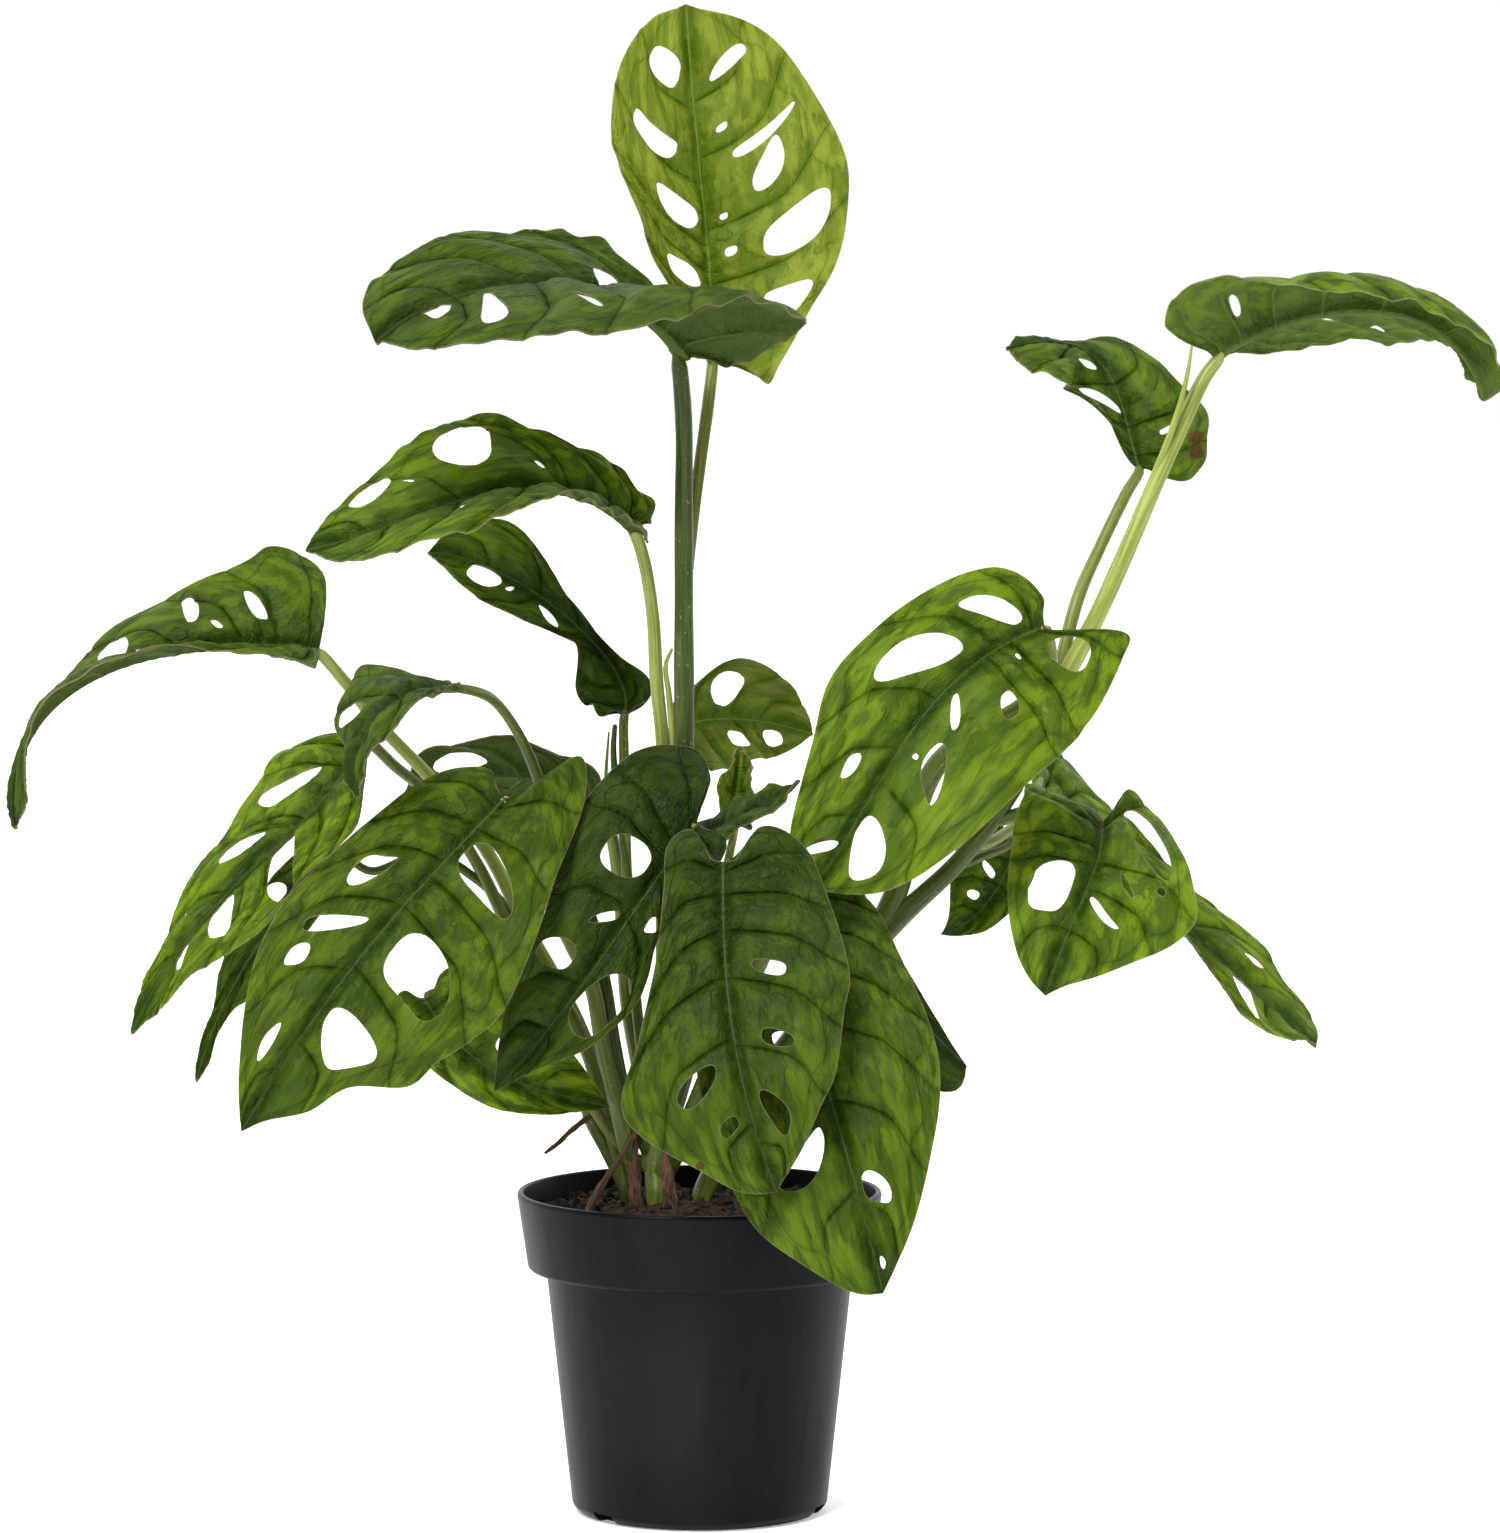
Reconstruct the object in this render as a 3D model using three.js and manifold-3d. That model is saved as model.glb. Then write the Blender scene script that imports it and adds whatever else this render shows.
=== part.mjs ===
// Monstera adansonii (Swiss cheese vine) standing in its nursery pot.
// Millimetres, +Z up. Origin: the middle of the pot's base. +X is right, +Y is away from the viewer.
import * as THREE from 'three';
import { mergeVertices } from 'three/addons/utils/BufferGeometryUtils.js';
import Module from 'manifold-3d';

const wasm = await Module();
wasm.setup();

// ---------------------------------------------------------------- driving dimensions
const GAP = 0.3;                // clearance between pieces that touch

const POT_HEIGHT = 106;
const RIM_RADIUS = 60;          // 12 cm pot
const BAND_HEIGHT = 27;         // deep rim band, down from the lip
const BAND_LOW_RADIUS = 56.5;
const NECK_RADIUS = 50.5;       // wall just under the band
const BASE_RADIUS = 42;
const POT_WALL = 1.6;
const POT_SIDES = 44;

const SOIL_LEVEL = 99;          // top of the soil at the wall
const SOIL_HUMP = 3;            // the soil rises this much towards the stems
const SOIL_SIDES = 28;
const ROOT_DEPTH = 62;          // height at which the buried ends of the stems stop

const BLADE = 0.9;              // thickness of a leaf blade
const KEEL = 1.8;               // extra depth of the midrib at the leaf base
const SMALL_LEAF = 90;          // leaves shorter than this are built from fewer veins
const STEM_SIDES = 6;

// ---------------------------------------------------------------- materials
const leafGreen = new THREE.MeshStandardMaterial({ color: '#3f6b25', roughness: 0.42, metalness: 0 });
const youngGreen = new THREE.MeshStandardMaterial({ color: '#8aa53c', roughness: 0.45, metalness: 0 });
const stemGreen = new THREE.MeshStandardMaterial({ color: '#7c9150', roughness: 0.5, metalness: 0 });
const deadBrown = new THREE.MeshStandardMaterial({ color: '#6f5438', roughness: 0.9, metalness: 0 });
const soilBrown = new THREE.MeshStandardMaterial({ color: '#3b2c20', roughness: 1, metalness: 0 });
const potBlack = new THREE.MeshStandardMaterial({ color: '#3c3d3f', roughness: 0.45, metalness: 0 });

// ---------------------------------------------------------------- solids
const plant = new THREE.Group();

/** Closed BufferGeometry -> manifold solid, with coincident vertices merged. */
function solidOf(geometry) {
  const bare = geometry.clone();
  bare.deleteAttribute('normal');
  bare.deleteAttribute('uv');
  const merged = mergeVertices(bare, 1e-4);
  return new wasm.Manifold(new wasm.Mesh({
    numProp: 3,
    vertProperties: new Float32Array(merged.attributes.position.array),
    triVerts: new Uint32Array(merged.index.array),
  }));
}

/** Manifold solid -> BufferGeometry. */
function geometryOf(solid) {
  const mesh = solid.getMesh();
  const geometry = new THREE.BufferGeometry();
  geometry.setAttribute('position', new THREE.BufferAttribute(mesh.vertProperties, 3));
  geometry.setIndex(new THREE.BufferAttribute(mesh.triVerts, 1));
  return geometry;
}

/** The biggest loose body of a solid: scraps left by a cut are dropped. */
function mainBody(solid) {
  const bodies = solid.decompose();
  return bodies.reduce((best, body) => (body.volume() > best.volume() ? body : best));
}

function addPiece(name, geometry, material) {
  const mesh = new THREE.Mesh(geometry, material);
  mesh.name = name;
  plant.add(mesh);
  return mesh;
}

/** Solid of revolution about Z from a closed [radius, height] outline. */
function turned(outline, sides) {
  const points = outline.map(([radius, height]) => new THREE.Vector2(radius, height));
  const lathe = new THREE.LatheGeometry([...points, points[0]], sides);
  lathe.rotateX(Math.PI / 2);
  return solidOf(lathe);
}

/** Round tube along [x, y, z, radius] stations, closed at both ends. */
function tube(stations, spacing = 21, sides = STEM_SIDES) {
  const path = new THREE.CatmullRomCurve3(stations.map(([x, y, z]) => new THREE.Vector3(x, y, z)));
  const steps = Math.max(2, Math.round(path.getLength() / spacing));
  const ring = (t, k, side) => {
    const along = t * (stations.length - 1);
    const i = Math.min(Math.floor(along), stations.length - 2);
    const radius = THREE.MathUtils.lerp(stations[i][3], stations[i + 1][3], along - i);
    const angle = (2 * Math.PI * k) / sides;
    return side.normal.clone().multiplyScalar(radius * Math.cos(angle))
      .addScaledVector(side.binormal, radius * Math.sin(angle))
      .add(path.getPoint(t));
  };
  const vertices = [];
  let normal = new THREE.Vector3(0, 1, 0);
  for (let s = 0; s <= steps; s += 1) {
    const t = s / steps;
    const tangent = path.getTangent(t);
    normal = normal.clone().addScaledVector(tangent, -normal.dot(tangent)).normalize();
    const binormal = tangent.clone().cross(normal);
    for (let k = 0; k < sides; k += 1) {
      vertices.push(...ring(t, k, { normal, binormal }).toArray());
    }
  }
  const faces = [];
  for (let s = 0; s < steps; s += 1) {
    for (let k = 0; k < sides; k += 1) {
      const a = s * sides + k;
      const b = s * sides + ((k + 1) % sides);
      faces.push(a, b, b + sides, a, b + sides, a + sides);
    }
  }
  for (let k = 1; k < sides - 1; k += 1) {
    faces.push(0, k + 1, k);
    faces.push(steps * sides, steps * sides + k, steps * sides + k + 1);
  }
  const geometry = new THREE.BufferGeometry();
  geometry.setAttribute('position', new THREE.Float32BufferAttribute(vertices, 3));
  geometry.setIndex(faces);
  return solidOf(geometry);
}

// ---------------------------------------------------------------- leaf blades
// A blade is worked out in its own flat coordinates first: a runs along the midrib and b out to a side.
// mu counts the side veins from the leaf base (0) to the tip (1), and t runs out along a vein from the
// midrib (0) to the margin (1). The flat blade is then laid along the curved midrib, folded and curled.

/** Cubic Bezier curve through four points at equal steps. */
function curveThrough([a, b, c, d]) {
  const mix = (p, q, r, s) => new THREE.Vector3()
    .addScaledVector(a, p).addScaledVector(b, q).addScaledVector(c, r).addScaledVector(d, s);
  return new THREE.CubicBezierCurve3(a, mix(-5 / 6, 3, -1.5, 1 / 3), mix(1 / 3, -1.5, 3, -5 / 6), d);
}

/** Value at share f of a quantity given at the base, the middle and the tip. */
function threeWay([base, middle, tip], f) {
  return base * (1 - f) * (1 - 2 * f) + 4 * middle * f * (1 - f) + tip * f * (2 * f - 1);
}

class Blade {
  /**
   * spine: four points of the midrib. face: which way the upper side looks, at the base and at the tip.
   * margins: for the left and the right half, stations [share of length, width].
   * fold: angle of each half up from flat, and curl: its turn from midrib to margin, in degrees.
   * holes: [half, mu, t, half length in t, half width in mu, lean].
   */
  constructor({ spine, face, margins, fold, curl, wave, holes }) {
    this.path = curveThrough(spine.map((p) => new THREE.Vector3(...p)));
    this.length = this.path.getLength();
    this.face = face.map((v) => new THREE.Vector3(...v).normalize());
    this.fold = fold;
    this.curl = curl;
    this.wave = wave;
    this.holes = holes;
    this.veinCount = this.length < SMALL_LEAF ? 5 : 7;
    this.width = margins.map((half) => Math.max(...half.map(([, width]) => width)));
    this.margins = margins.map((half) => {
      const stations = half.map(([share, width]) => new THREE.Vector3(share * this.length, width, 0));
      return new THREE.CatmullRomCurve3([...stations, new THREE.Vector3(this.length, 0, 0)], false, 'catmullrom');
    });
  }

  /** Flat point on vein mu of a half: a quadratic curve from the midrib to the margin. */
  flat(half, mu, t) {
    const foot = this.length * mu ** 1.8;
    const end = this.margins[half].getPointAt(mu);
    const a = foot * (1 - t) ** 2 + 2 * (foot + 0.22 * (end.x - foot)) * t * (1 - t) + end.x * t * t;
    const b = 2 * 0.55 * end.y * t * (1 - t) + end.y * t * t;
    return [a, b];
  }

  /** Space point of a flat point, and the blade's upward normal there. grow moves it away from the middle. */
  place(half, mu, t, grow = 0) {
    const [a0, b0] = this.flat(half, mu, t);
    const away = Math.hypot(a0 - 0.4 * this.length, b0) || 1;
    const a = a0 + (grow * (a0 - 0.4 * this.length)) / away;
    const b = b0 + (grow * b0) / away;
    const share = THREE.MathUtils.clamp(a / this.length, 0, 1);
    const tangent = this.path.getTangentAt(share);
    const origin = this.path.getPointAt(share).addScaledVector(tangent, a - share * this.length);
    const up = this.face[0].clone().lerp(this.face[1], THREE.MathUtils.smoothstep(share, 0, 1));
    up.addScaledVector(tangent, -up.dot(tangent)).normalize();
    const left = up.clone().cross(tangent);
    const out = half === 0 ? 1 : -1;
    const lean = THREE.MathUtils.degToRad(threeWay(this.fold[half], share));
    const turn = THREE.MathUtils.degToRad(threeWay(this.curl[half], share));
    const width = this.width[half];
    const reach = b / width;
    const curled = Math.abs(turn) > 1e-3;
    const across = curled ? (width * (Math.sin(lean + turn * reach) - Math.sin(lean))) / turn : b * Math.cos(lean);
    const rise = curled ? (width * (Math.cos(lean) - Math.cos(lean + turn * reach))) / turn : b * Math.sin(lean);
    const ripple = this.wave * t * t * Math.sin(2 * Math.PI * (3 * mu + (half === 0 ? 0 : 0.37)));
    const slope = t > 0 ? lean + turn * reach : 0;
    return {
      point: origin.addScaledVector(left, out * across).addScaledVector(up, rise + ripple),
      normal: up.clone().multiplyScalar(Math.cos(slope)).addScaledVector(left, -out * Math.sin(slope)),
    };
  }

  /** Vein positions of a half: evenly spread, each moved off the holes. */
  veinsOf(half) {
    const taken = this.holes.filter((hole) => hole[0] === half).map(([, mu, , reach, width, lean = 0]) => {
      const spread = width + Math.abs(lean) * reach + 0.012;
      return [mu - spread, mu + spread];
    });
    const veins = [0];
    for (let k = 1; k < this.veinCount; k += 1) {
      let mu = k / this.veinCount;
      for (let pass = 0; pass < 3; pass += 1) {
        const hit = taken.find(([low, high]) => mu > low && mu < high);
        if (hit) mu = mu - hit[0] < hit[1] - mu ? hit[0] : hit[1];
      }
      const free = !taken.some(([low, high]) => mu > low + 1e-6 && mu < high - 1e-6);
      if (free && mu > veins[veins.length - 1] + 0.035 && mu < 0.965) veins.push(mu);
    }
    veins.push(1);
    return veins;
  }

  /** Outline of a hole in (mu, t): a rounded lens lying along the veins. */
  holeLoop([, mu, t, reach, width, lean = 0], corners = 8) {
    return Array.from({ length: corners }, (_, k) => {
      const angle = (2 * Math.PI * (k + 0.5)) / corners;
      const soft = (value) => Math.sign(value) * Math.abs(value) ** 0.8;
      const along = soft(Math.cos(angle));
      return [mu + width * soft(Math.sin(angle)) + lean * reach * along, t + reach * along];
    });
  }

  /**
   * Closed mesh: the same triangles on both faces, joined along the margins and round the holes.
   * grow makes it larger all round: that body is cut from a petiole, so that the two stand clear.
   */
  geometry(grow = 0) {
    const steps = [0, 0.3, 0.65, 1];
    const halves = [0, 1].map((half) => this.veinsOf(half));
    const midrib = [...new Set(halves.flat())].sort((p, q) => p - q);
    const numbers = new Map();
    const vertices = [];
    const vertex = (half, mu, t) => {
      const onRib = t === 0 || mu === 1;
      const key = onRib ? `rib ${mu}` : `${half} ${mu.toFixed(5)} ${t.toFixed(5)}`;
      if (!numbers.has(key)) {
        numbers.set(key, vertices.length);
        const [a, b] = mu === 1 ? [this.length, 0] : this.flat(half, mu, onRib ? 0 : t);
        vertices.push({ half, mu, t: onRib ? 0 : t, a, b: half === 0 ? b : -b });
      }
      return numbers.get(key);
    };
    const triangles = [];
    for (const half of [0, 1]) {
      const veins = halves[half];
      const loose = this.holes.filter((hole) => hole[0] === half);
      for (let k = 0; k + 1 < veins.length; k += 1) {
        const [from, to] = [veins[k], veins[k + 1]];
        const outline = midrib.filter((mu) => mu >= from && mu <= to).map((mu) => vertex(half, mu, 0));
        if (to < 1) steps.slice(1).forEach((t) => outline.push(vertex(half, to, t)));
        const marginSteps = to < 1 ? [0.5] : [0.75, 0.4];
        marginSteps.forEach((share) => outline.push(vertex(half, from + (to - from) * share, 1)));
        steps.slice(1).reverse().forEach((t) => outline.push(vertex(half, from, t)));
        const rings = loose.filter((hole) => hole[1] > from && hole[1] < to)
          .map((hole) => this.holeLoop(hole).map(([mu, t]) => vertex(half, mu, t)));
        const all = [...outline, ...rings.flat()];
        const flatPoint = (i) => new THREE.Vector2(vertices[i].a, vertices[i].b);
        const found = THREE.ShapeUtils.triangulateShape(outline.map(flatPoint), rings.map((r) => r.map(flatPoint)));
        found.forEach((corner) => triangles.push(corner.map((i) => all[i])));
      }
    }
    const area = ([i, j, k]) => {
      const [p, q, r] = [vertices[i], vertices[j], vertices[k]];
      return (q.a - p.a) * (r.b - p.b) - (r.a - p.a) * (q.b - p.b);
    };
    const facesUp = triangles.reduce((sum, corners) => sum + area(corners), 0) > 0;
    const upper = facesUp ? triangles : triangles.map(([i, j, k]) => [i, k, j]);
    const count = vertices.length;
    const positions = new Float32Array(count * 6);
    vertices.forEach(({ half, mu, t }, i) => {
      const { point, normal } = this.place(half, mu, t, grow);
      const depth = t === 0 ? BLADE * 1.25 + KEEL * (1 - mu) : BLADE;
      point.clone().addScaledVector(normal, grow).toArray(positions, 3 * i);
      point.clone().addScaledVector(normal, -depth - grow).toArray(positions, 3 * (count + i));
    });
    const faces = [];
    const edges = new Set();
    upper.forEach(([i, j, k]) => {
      faces.push(i, j, k, count + i, count + k, count + j);
      [[i, j], [j, k], [k, i]].forEach(([p, q]) => edges.add(`${p} ${q}`));
    });
    edges.forEach((edge) => {
      const [p, q] = edge.split(' ').map(Number);
      if (!edges.has(`${q} ${p}`)) faces.push(q, p, count + p, q, count + p, count + q);
    });
    const geometry = new THREE.BufferGeometry();
    geometry.setAttribute('position', new THREE.BufferAttribute(positions, 3));
    geometry.setIndex(faces);
    return geometry;
  }
}

/** Margin stations of a plain oval half of a given width. */
const oval = (width) => [[-0.01, 0.12], [-0.08, 0.4], [-0.03, 0.8], [0.2, 1], [0.45, 0.95], [0.7, 0.68], [0.9, 0.25]]
  .map(([share, part]) => [share, part * width]);

// The leaves, from the top one down. Left and right are as seen from above with the tip ahead.
const LEAVES = {
  leaf_01_top: {
    spine: [[5, 15, 378], [3, 20, 414], [-1, 20, 455], [-4, 14, 494]],
    face: [[0.3, -1, 0.1], [0.2, -1, 0.25]],
    left: [[0, 3], [0.2, 17], [0.45, 28], [0.7, 31], [0.87, 25], [0.97, 12]],
    right: [[-0.01, 3], [-0.06, 14], [0.1, 30], [0.32, 45], [0.55, 47], [0.77, 37], [0.93, 21]],
    fold: [[30, 20, 8], [20, 12, 5]],
    holes: [[0, 0.86, 0.55, 0.23, 0.026], [0, 0.72, 0.53, 0.24, 0.029], [0, 0.58, 0.4, 0.23, 0.035],
      [0, 0.38, 0.46, 0.26, 0.05], [1, 0.86, 0.49, 0.3, 0.018], [1, 0.77, 0.22, 0.06, 0.01],
      [1, 0.715, 0.55, 0.29, 0.012], [1, 0.64, 0.51, 0.17, 0.033, 0.1], [1, 0.5, 0.6, 0.27, 0.042],
      [1, 0.5, 0.15, 0.05, 0.015], [1, 0.33, 0.63, 0.19, 0.032]],
    material: youngGreen,
  },
  leaf_02_upper_left: {
    spine: [[-5, -5, 380], [-32, -35, 402], [-69, -70, 404], [-101, -95, 388]],
    face: [[0, -0.1, 1], [-0.2, -0.4, 1]],
    left: [[-0.03, 4], [-0.12, 20], [-0.08, 42], [0.1, 50], [0.35, 50], [0.57, 44], [0.75, 34], [0.9, 18]],
    right: [[0.02, 4], [0.03, 20], [0.18, 32], [0.4, 32], [0.6, 30], [0.8, 26], [0.93, 16]],
    fold: [[72, -2, -12], [28, 26, 30]],
    curl: [[-90, -30, -10], [0, -10, -10]],
    holes: [[0, 0.88, 0.4, 0.22, 0.024], [0, 0.79, 0.48, 0.28, 0.024], [0, 0.64, 0.55, 0.16, 0.018],
      [1, 0.44, 0.42, 0.12, 0.04]],
  },
  leaf_03_upper_right: {
    spine: [[170, 20, 380], [193, 10, 392], [230, 0, 394], [256, -10, 366]],
    face: [[0.1, 0.55, 0.8], [0.45, 0.35, 0.8]],
    left: [[0.02, 3], [0.06, 12], [0.2, 24], [0.4, 30], [0.6, 30], [0.78, 22], [0.92, 10]],
    right: [[-0.01, 3], [-0.05, 12], [-0.03, 22], [0.1, 31], [0.3, 34], [0.6, 31], [0.8, 23], [0.93, 13]],
    fold: [[12, 8, 5], [12, 34, 40]],
    curl: [[0, 0, 0], [0, -115, -125]],
    holes: [[1, 0.31, 0.36, 0.15, 0.019], [0, 0.52, 0.4, 0.2, 0.019], [0, 0.66, 0.6, 0.12, 0.018]],
  },
  leaf_04_arched: {
    spine: [[145, 35, 342], [139, 45, 365], [128, 50, 381], [101, 40, 382]],
    face: [[-0.3, -0.8, 0.5], [0, 0.15, 1]],
    left: [[0.03, 2], [0.1, 5], [0.28, 9], [0.45, 15], [0.65, 17], [0.82, 14], [0.94, 7]],
    right: [[-0.03, 3], [-0.14, 10], [-0.02, 24], [0.15, 28], [0.35, 24], [0.6, 19], [0.8, 13], [0.93, 7]],
    fold: [[0, -25, -45], [0, 0, 0]],
    holes: [[0, 0.72, 0.5, 0.2, 0.024], [0, 0.55, 0.45, 0.26, 0.03], [1, 0.33, 0.42, 0.09, 0.022],
      [1, 0.5, 0.5, 0.12, 0.016]],
  },
  leaf_05_big_right: {
    spine: [[112, -30, 294], [79, -42, 274], [57, -52, 244], [36, -55, 211]],
    face: [[0, -0.95, 0.3], [0, -0.95, 0.3]],
    left: [[-0.02, 2], [-0.22, 10], [-0.18, 18], [0, 37], [0.21, 42], [0.43, 41], [0.6, 37], [0.75, 31], [0.9, 19]],
    right: [[0, 4], [-0.02, 10], [0.03, 21], [0.12, 26], [0.35, 30], [0.5, 31], [0.65, 25], [0.88, 17], [0.96, 10]],
    fold: [[0, 4, 5], [8, 6, 5]],
    holes: [[1, 0.24, 0.42, 0.23, 0.043, 0.23], [1, 0.48, 0.47, 0.15, 0.052, 0.45], [1, 0.75, 0.48, 0.08, 0.018, 0.3],
      [1, 0.91, 0.42, 0.28, 0.012], [0, 0.18, 0.51, 0.21, 0.052], [0, 0.46, 0.46, 0.1, 0.028, 0.2],
      [0, 0.57, 0.17, 0.09, 0.015, 0.3], [0, 0.7, 0.4, 0.13, 0.022, 0.35], [0, 0.88, 0.44, 0.27, 0.032, 0.1]],
  },
  leaf_06_hanging_right: {
    spine: [[131, -8, 229], [129, -24, 217], [121, -36, 199], [112, -40, 175]],
    face: [[0, -0.35, 1], [0, -1, 0.1]],
    left: [[-0.03, 3], [-0.1, 12], [0.1, 18], [0.3, 26], [0.5, 35], [0.64, 36], [0.8, 24], [0.92, 11]],
    right: [[-0.03, 3], [-0.1, 14], [-0.06, 26], [0.2, 30], [0.5, 28], [0.75, 21], [0.9, 12]],
    holes: [[1, 0.76, 0.44, 0.27, 0.07], [0, 0.46, 0.6, 0.18, 0.06, 0.45], [0, 0.65, 0.3, 0.1, 0.018],
      [0, 0.78, 0.38, 0.24, 0.02]],
  },
  leaf_07_low_right: {
    spine: [[116, 60, 241], [141, 66, 209], [175, 62, 176], [206, 42, 149]],
    face: [[0.35, -0.45, 0.8], [0.35, -0.45, 0.8]],
    left: oval(20),
    right: oval(30),
    holes: [[1, 0.84, 0.55, 0.25, 0.022], [0, 0.78, 0.5, 0.15, 0.018], [1, 0.55, 0.5, 0.22, 0.03]],
  },
  leaf_08_front_low: {
    spine: [[30, -35, 210], [35, -62, 173], [46, -80, 134], [59, -85, 85]],
    face: [[0, -1, 0.15], [0, -1, 0.15]],
    left: [[0, 3], [-0.03, 12], [0.06, 26], [0.2, 32], [0.45, 37], [0.6, 34], [0.75, 24], [0.88, 13]],
    right: [[0, 3], [-0.05, 14], [0.05, 28], [0.25, 36], [0.5, 40], [0.68, 38], [0.8, 33], [0.92, 19], [0.98, 9]],
    holes: [[1, 0.76, 0.39, 0.19, 0.03, 0.1], [0, 0.84, 0.4, 0.26, 0.026], [1, 0.92, 0.3, 0.16, 0.008]],
  },
  leaf_09_front_middle: {
    spine: [[8, -60, 221], [9, -80, 187], [14, -92, 155], [25, -95, 119]],
    face: [[0, -1, 0.2], [0, -1, 0.2]],
    left: [[0, 4], [-0.1, 12], [-0.06, 25], [0.07, 32], [0.36, 39], [0.51, 36], [0.7, 30], [0.8, 22], [0.91, 12]],
    right: [[0, 4], [-0.1, 10], [-0.05, 18], [0.1, 19], [0.3, 22], [0.51, 30], [0.66, 39], [0.75, 35], [0.87, 21],
      [0.96, 11]],
    holes: [[0, 0.53, 0.35, 0.15, 0.022], [0, 0.7, 0.42, 0.15, 0.018], [1, 0.75, 0.5, 0.16, 0.03],
      [0, 0.85, 0.48, 0.22, 0.024], [1, 0.86, 0.39, 0.14, 0.015]],
  },
  leaf_10_middle_left: {
    spine: [[0, -28, 230], [-15, -40, 211], [-38, -48, 179], [-66, -50, 145]],
    face: [[0, -1, 0.1], [0, -1, 0.1]],
    left: [[0, 3], [-0.02, 10], [0.1, 17], [0.3, 19], [0.5, 18], [0.7, 15], [0.88, 7]],
    right: [[-0.03, 2], [-0.16, 8], [-0.2, 18], [-0.08, 28], [0.08, 33], [0.25, 32], [0.5, 23], [0.72, 18], [0.87, 10]],
    holes: [[1, 0.44, 0.4, 0.23, 0.058, 0.08], [1, 0.6, 0.26, 0.16, 0.018], [0, 0.51, 0.42, 0.12, 0.023],
      [1, 0.71, 0.58, 0.22, 0.033]],
  },
  leaf_11_front_left: {
    spine: [[-62, -45, 240], [-83, -62, 219], [-112, -78, 186], [-145, -85, 137]],
    face: [[0, -1, 0.2], [0, -1, 0.2]],
    left: [[-0.05, 3], [-0.2, 9], [-0.12, 20], [0.06, 29], [0.21, 38], [0.41, 46], [0.6, 41], [0.73, 34], [0.82, 21],
      [0.93, 9]],
    right: [[0, 4], [-0.03, 11], [0.08, 22], [0.25, 26], [0.48, 30], [0.62, 28], [0.75, 21], [0.88, 11]],
    holes: [[0, 0.4, 0.42, 0.28, 0.042], [0, 0.63, 0.4, 0.24, 0.06, -0.1], [0, 0.79, 0.45, 0.27, 0.044],
      [1, 0.51, 0.46, 0.17, 0.039, 0.1], [1, 0.63, 0.44, 0.25, 0.022], [1, 0.7, 0.6, 0.12, 0.022],
      [1, 0.86, 0.5, 0.2, 0.016]],
  },
  leaf_12_back_left: {
    spine: [[-109, -22, 257], [-131, -38, 229], [-157, -48, 204], [-183, -50, 164]],
    face: [[-0.5, -0.7, 0.5], [-0.5, -0.7, 0.5]],
    left: [[0, 3], [-0.04, 10], [0.08, 17], [0.25, 24], [0.4, 27], [0.56, 30], [0.68, 27], [0.82, 14]],
    right: [[0, 3], [-0.1, 12], [-0.07, 20], [0.03, 28], [0.16, 32], [0.37, 26], [0.6, 17], [0.75, 12], [0.88, 7]],
    holes: [[1, 0.38, 0.5, 0.22, 0.042, 0.3], [1, 0.61, 0.4, 0.2, 0.035], [1, 0.8, 0.4, 0.2, 0.018],
      [0, 0.34, 0.3, 0.14, 0.03], [0, 0.56, 0.4, 0.23, 0.022], [0, 0.72, 0.4, 0.24, 0.03]],
  },
  leaf_13_behind_left: {
    spine: [[-121, 0, 220], [-136, 0, 200], [-153, 3, 174], [-166, 5, 141]],
    face: [[-0.3, -0.9, 0.2], [-0.3, -0.9, 0.2]],
    left: oval(24),
    right: oval(20),
    holes: [[0, 0.6, 0.5, 0.2, 0.04], [1, 0.5, 0.5, 0.2, 0.03]],
  },
  leaf_14_small_bow: {
    spine: [[-78, -45, 277], [-92, -62, 275], [-105, -70, 265], [-109, -72, 242]],
    face: [[-0.2, -0.5, 0.9], [-0.9, -0.4, 0.2]],
    left: oval(20),
    right: oval(22),
    holes: [[1, 0.7, 0.55, 0.22, 0.05]],
  },
  leaf_15_far_left: {
    spine: [[-124, 5, 284], [-168, -15, 286], [-208, -30, 270], [-222, -30, 228]],
    face: [[-0.1, -0.85, 0.5], [-1, 0, 0.25]],
    left: [[0, 3], [-0.04, 12], [0.05, 22], [0.25, 27], [0.5, 23], [0.75, 15], [0.92, 7]],
    right: [[0, 4], [-0.03, 16], [-0.01, 28], [0.05, 36], [0.12, 34], [0.25, 28], [0.4, 25], [0.55, 22], [0.7, 17],
      [0.85, 10], [0.94, 5]],
    fold: [[35, 12, -15], [0, 0, 10]],
    holes: [[1, 0.46, 0.61, 0.2, 0.024], [1, 0.44, 0.24, 0.07, 0.014], [1, 0.33, 0.44, 0.17, 0.026],
      [1, 0.65, 0.5, 0.3, 0.05], [1, 0.56, 0.2, 0.08, 0.011]],
  },
  leaf_16_ruffled_left: {
    spine: [[-20, -10, 325], [-54, -25, 339], [-90, -38, 331], [-126, -45, 320]],
    face: [[0, -0.7, 0.7], [-0.2, -0.8, 0.55]],
    left: [[0, 3], [-0.03, 8], [0.1, 14], [0.3, 22], [0.5, 25], [0.7, 21], [0.88, 12]],
    right: [[-0.02, 3], [-0.04, 9], [0.1, 16], [0.25, 20], [0.4, 32], [0.55, 29], [0.7, 22], [0.88, 13]],
    fold: [[45, 33, 15], [5, 2, 0]],
    holes: [[1, 0.58, 0.66, 0.2, 0.075, -0.2], [1, 0.81, 0.66, 0.2, 0.042], [1, 0.74, 0.5, 0.07, 0.013],
      [1, 0.49, 0.26, 0.06, 0.014], [0, 0.84, 0.3, 0.12, 0.012], [0, 0.7, 0.3, 0.14, 0.012]],
  },
  leaf_17_twisted_left: {
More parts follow.
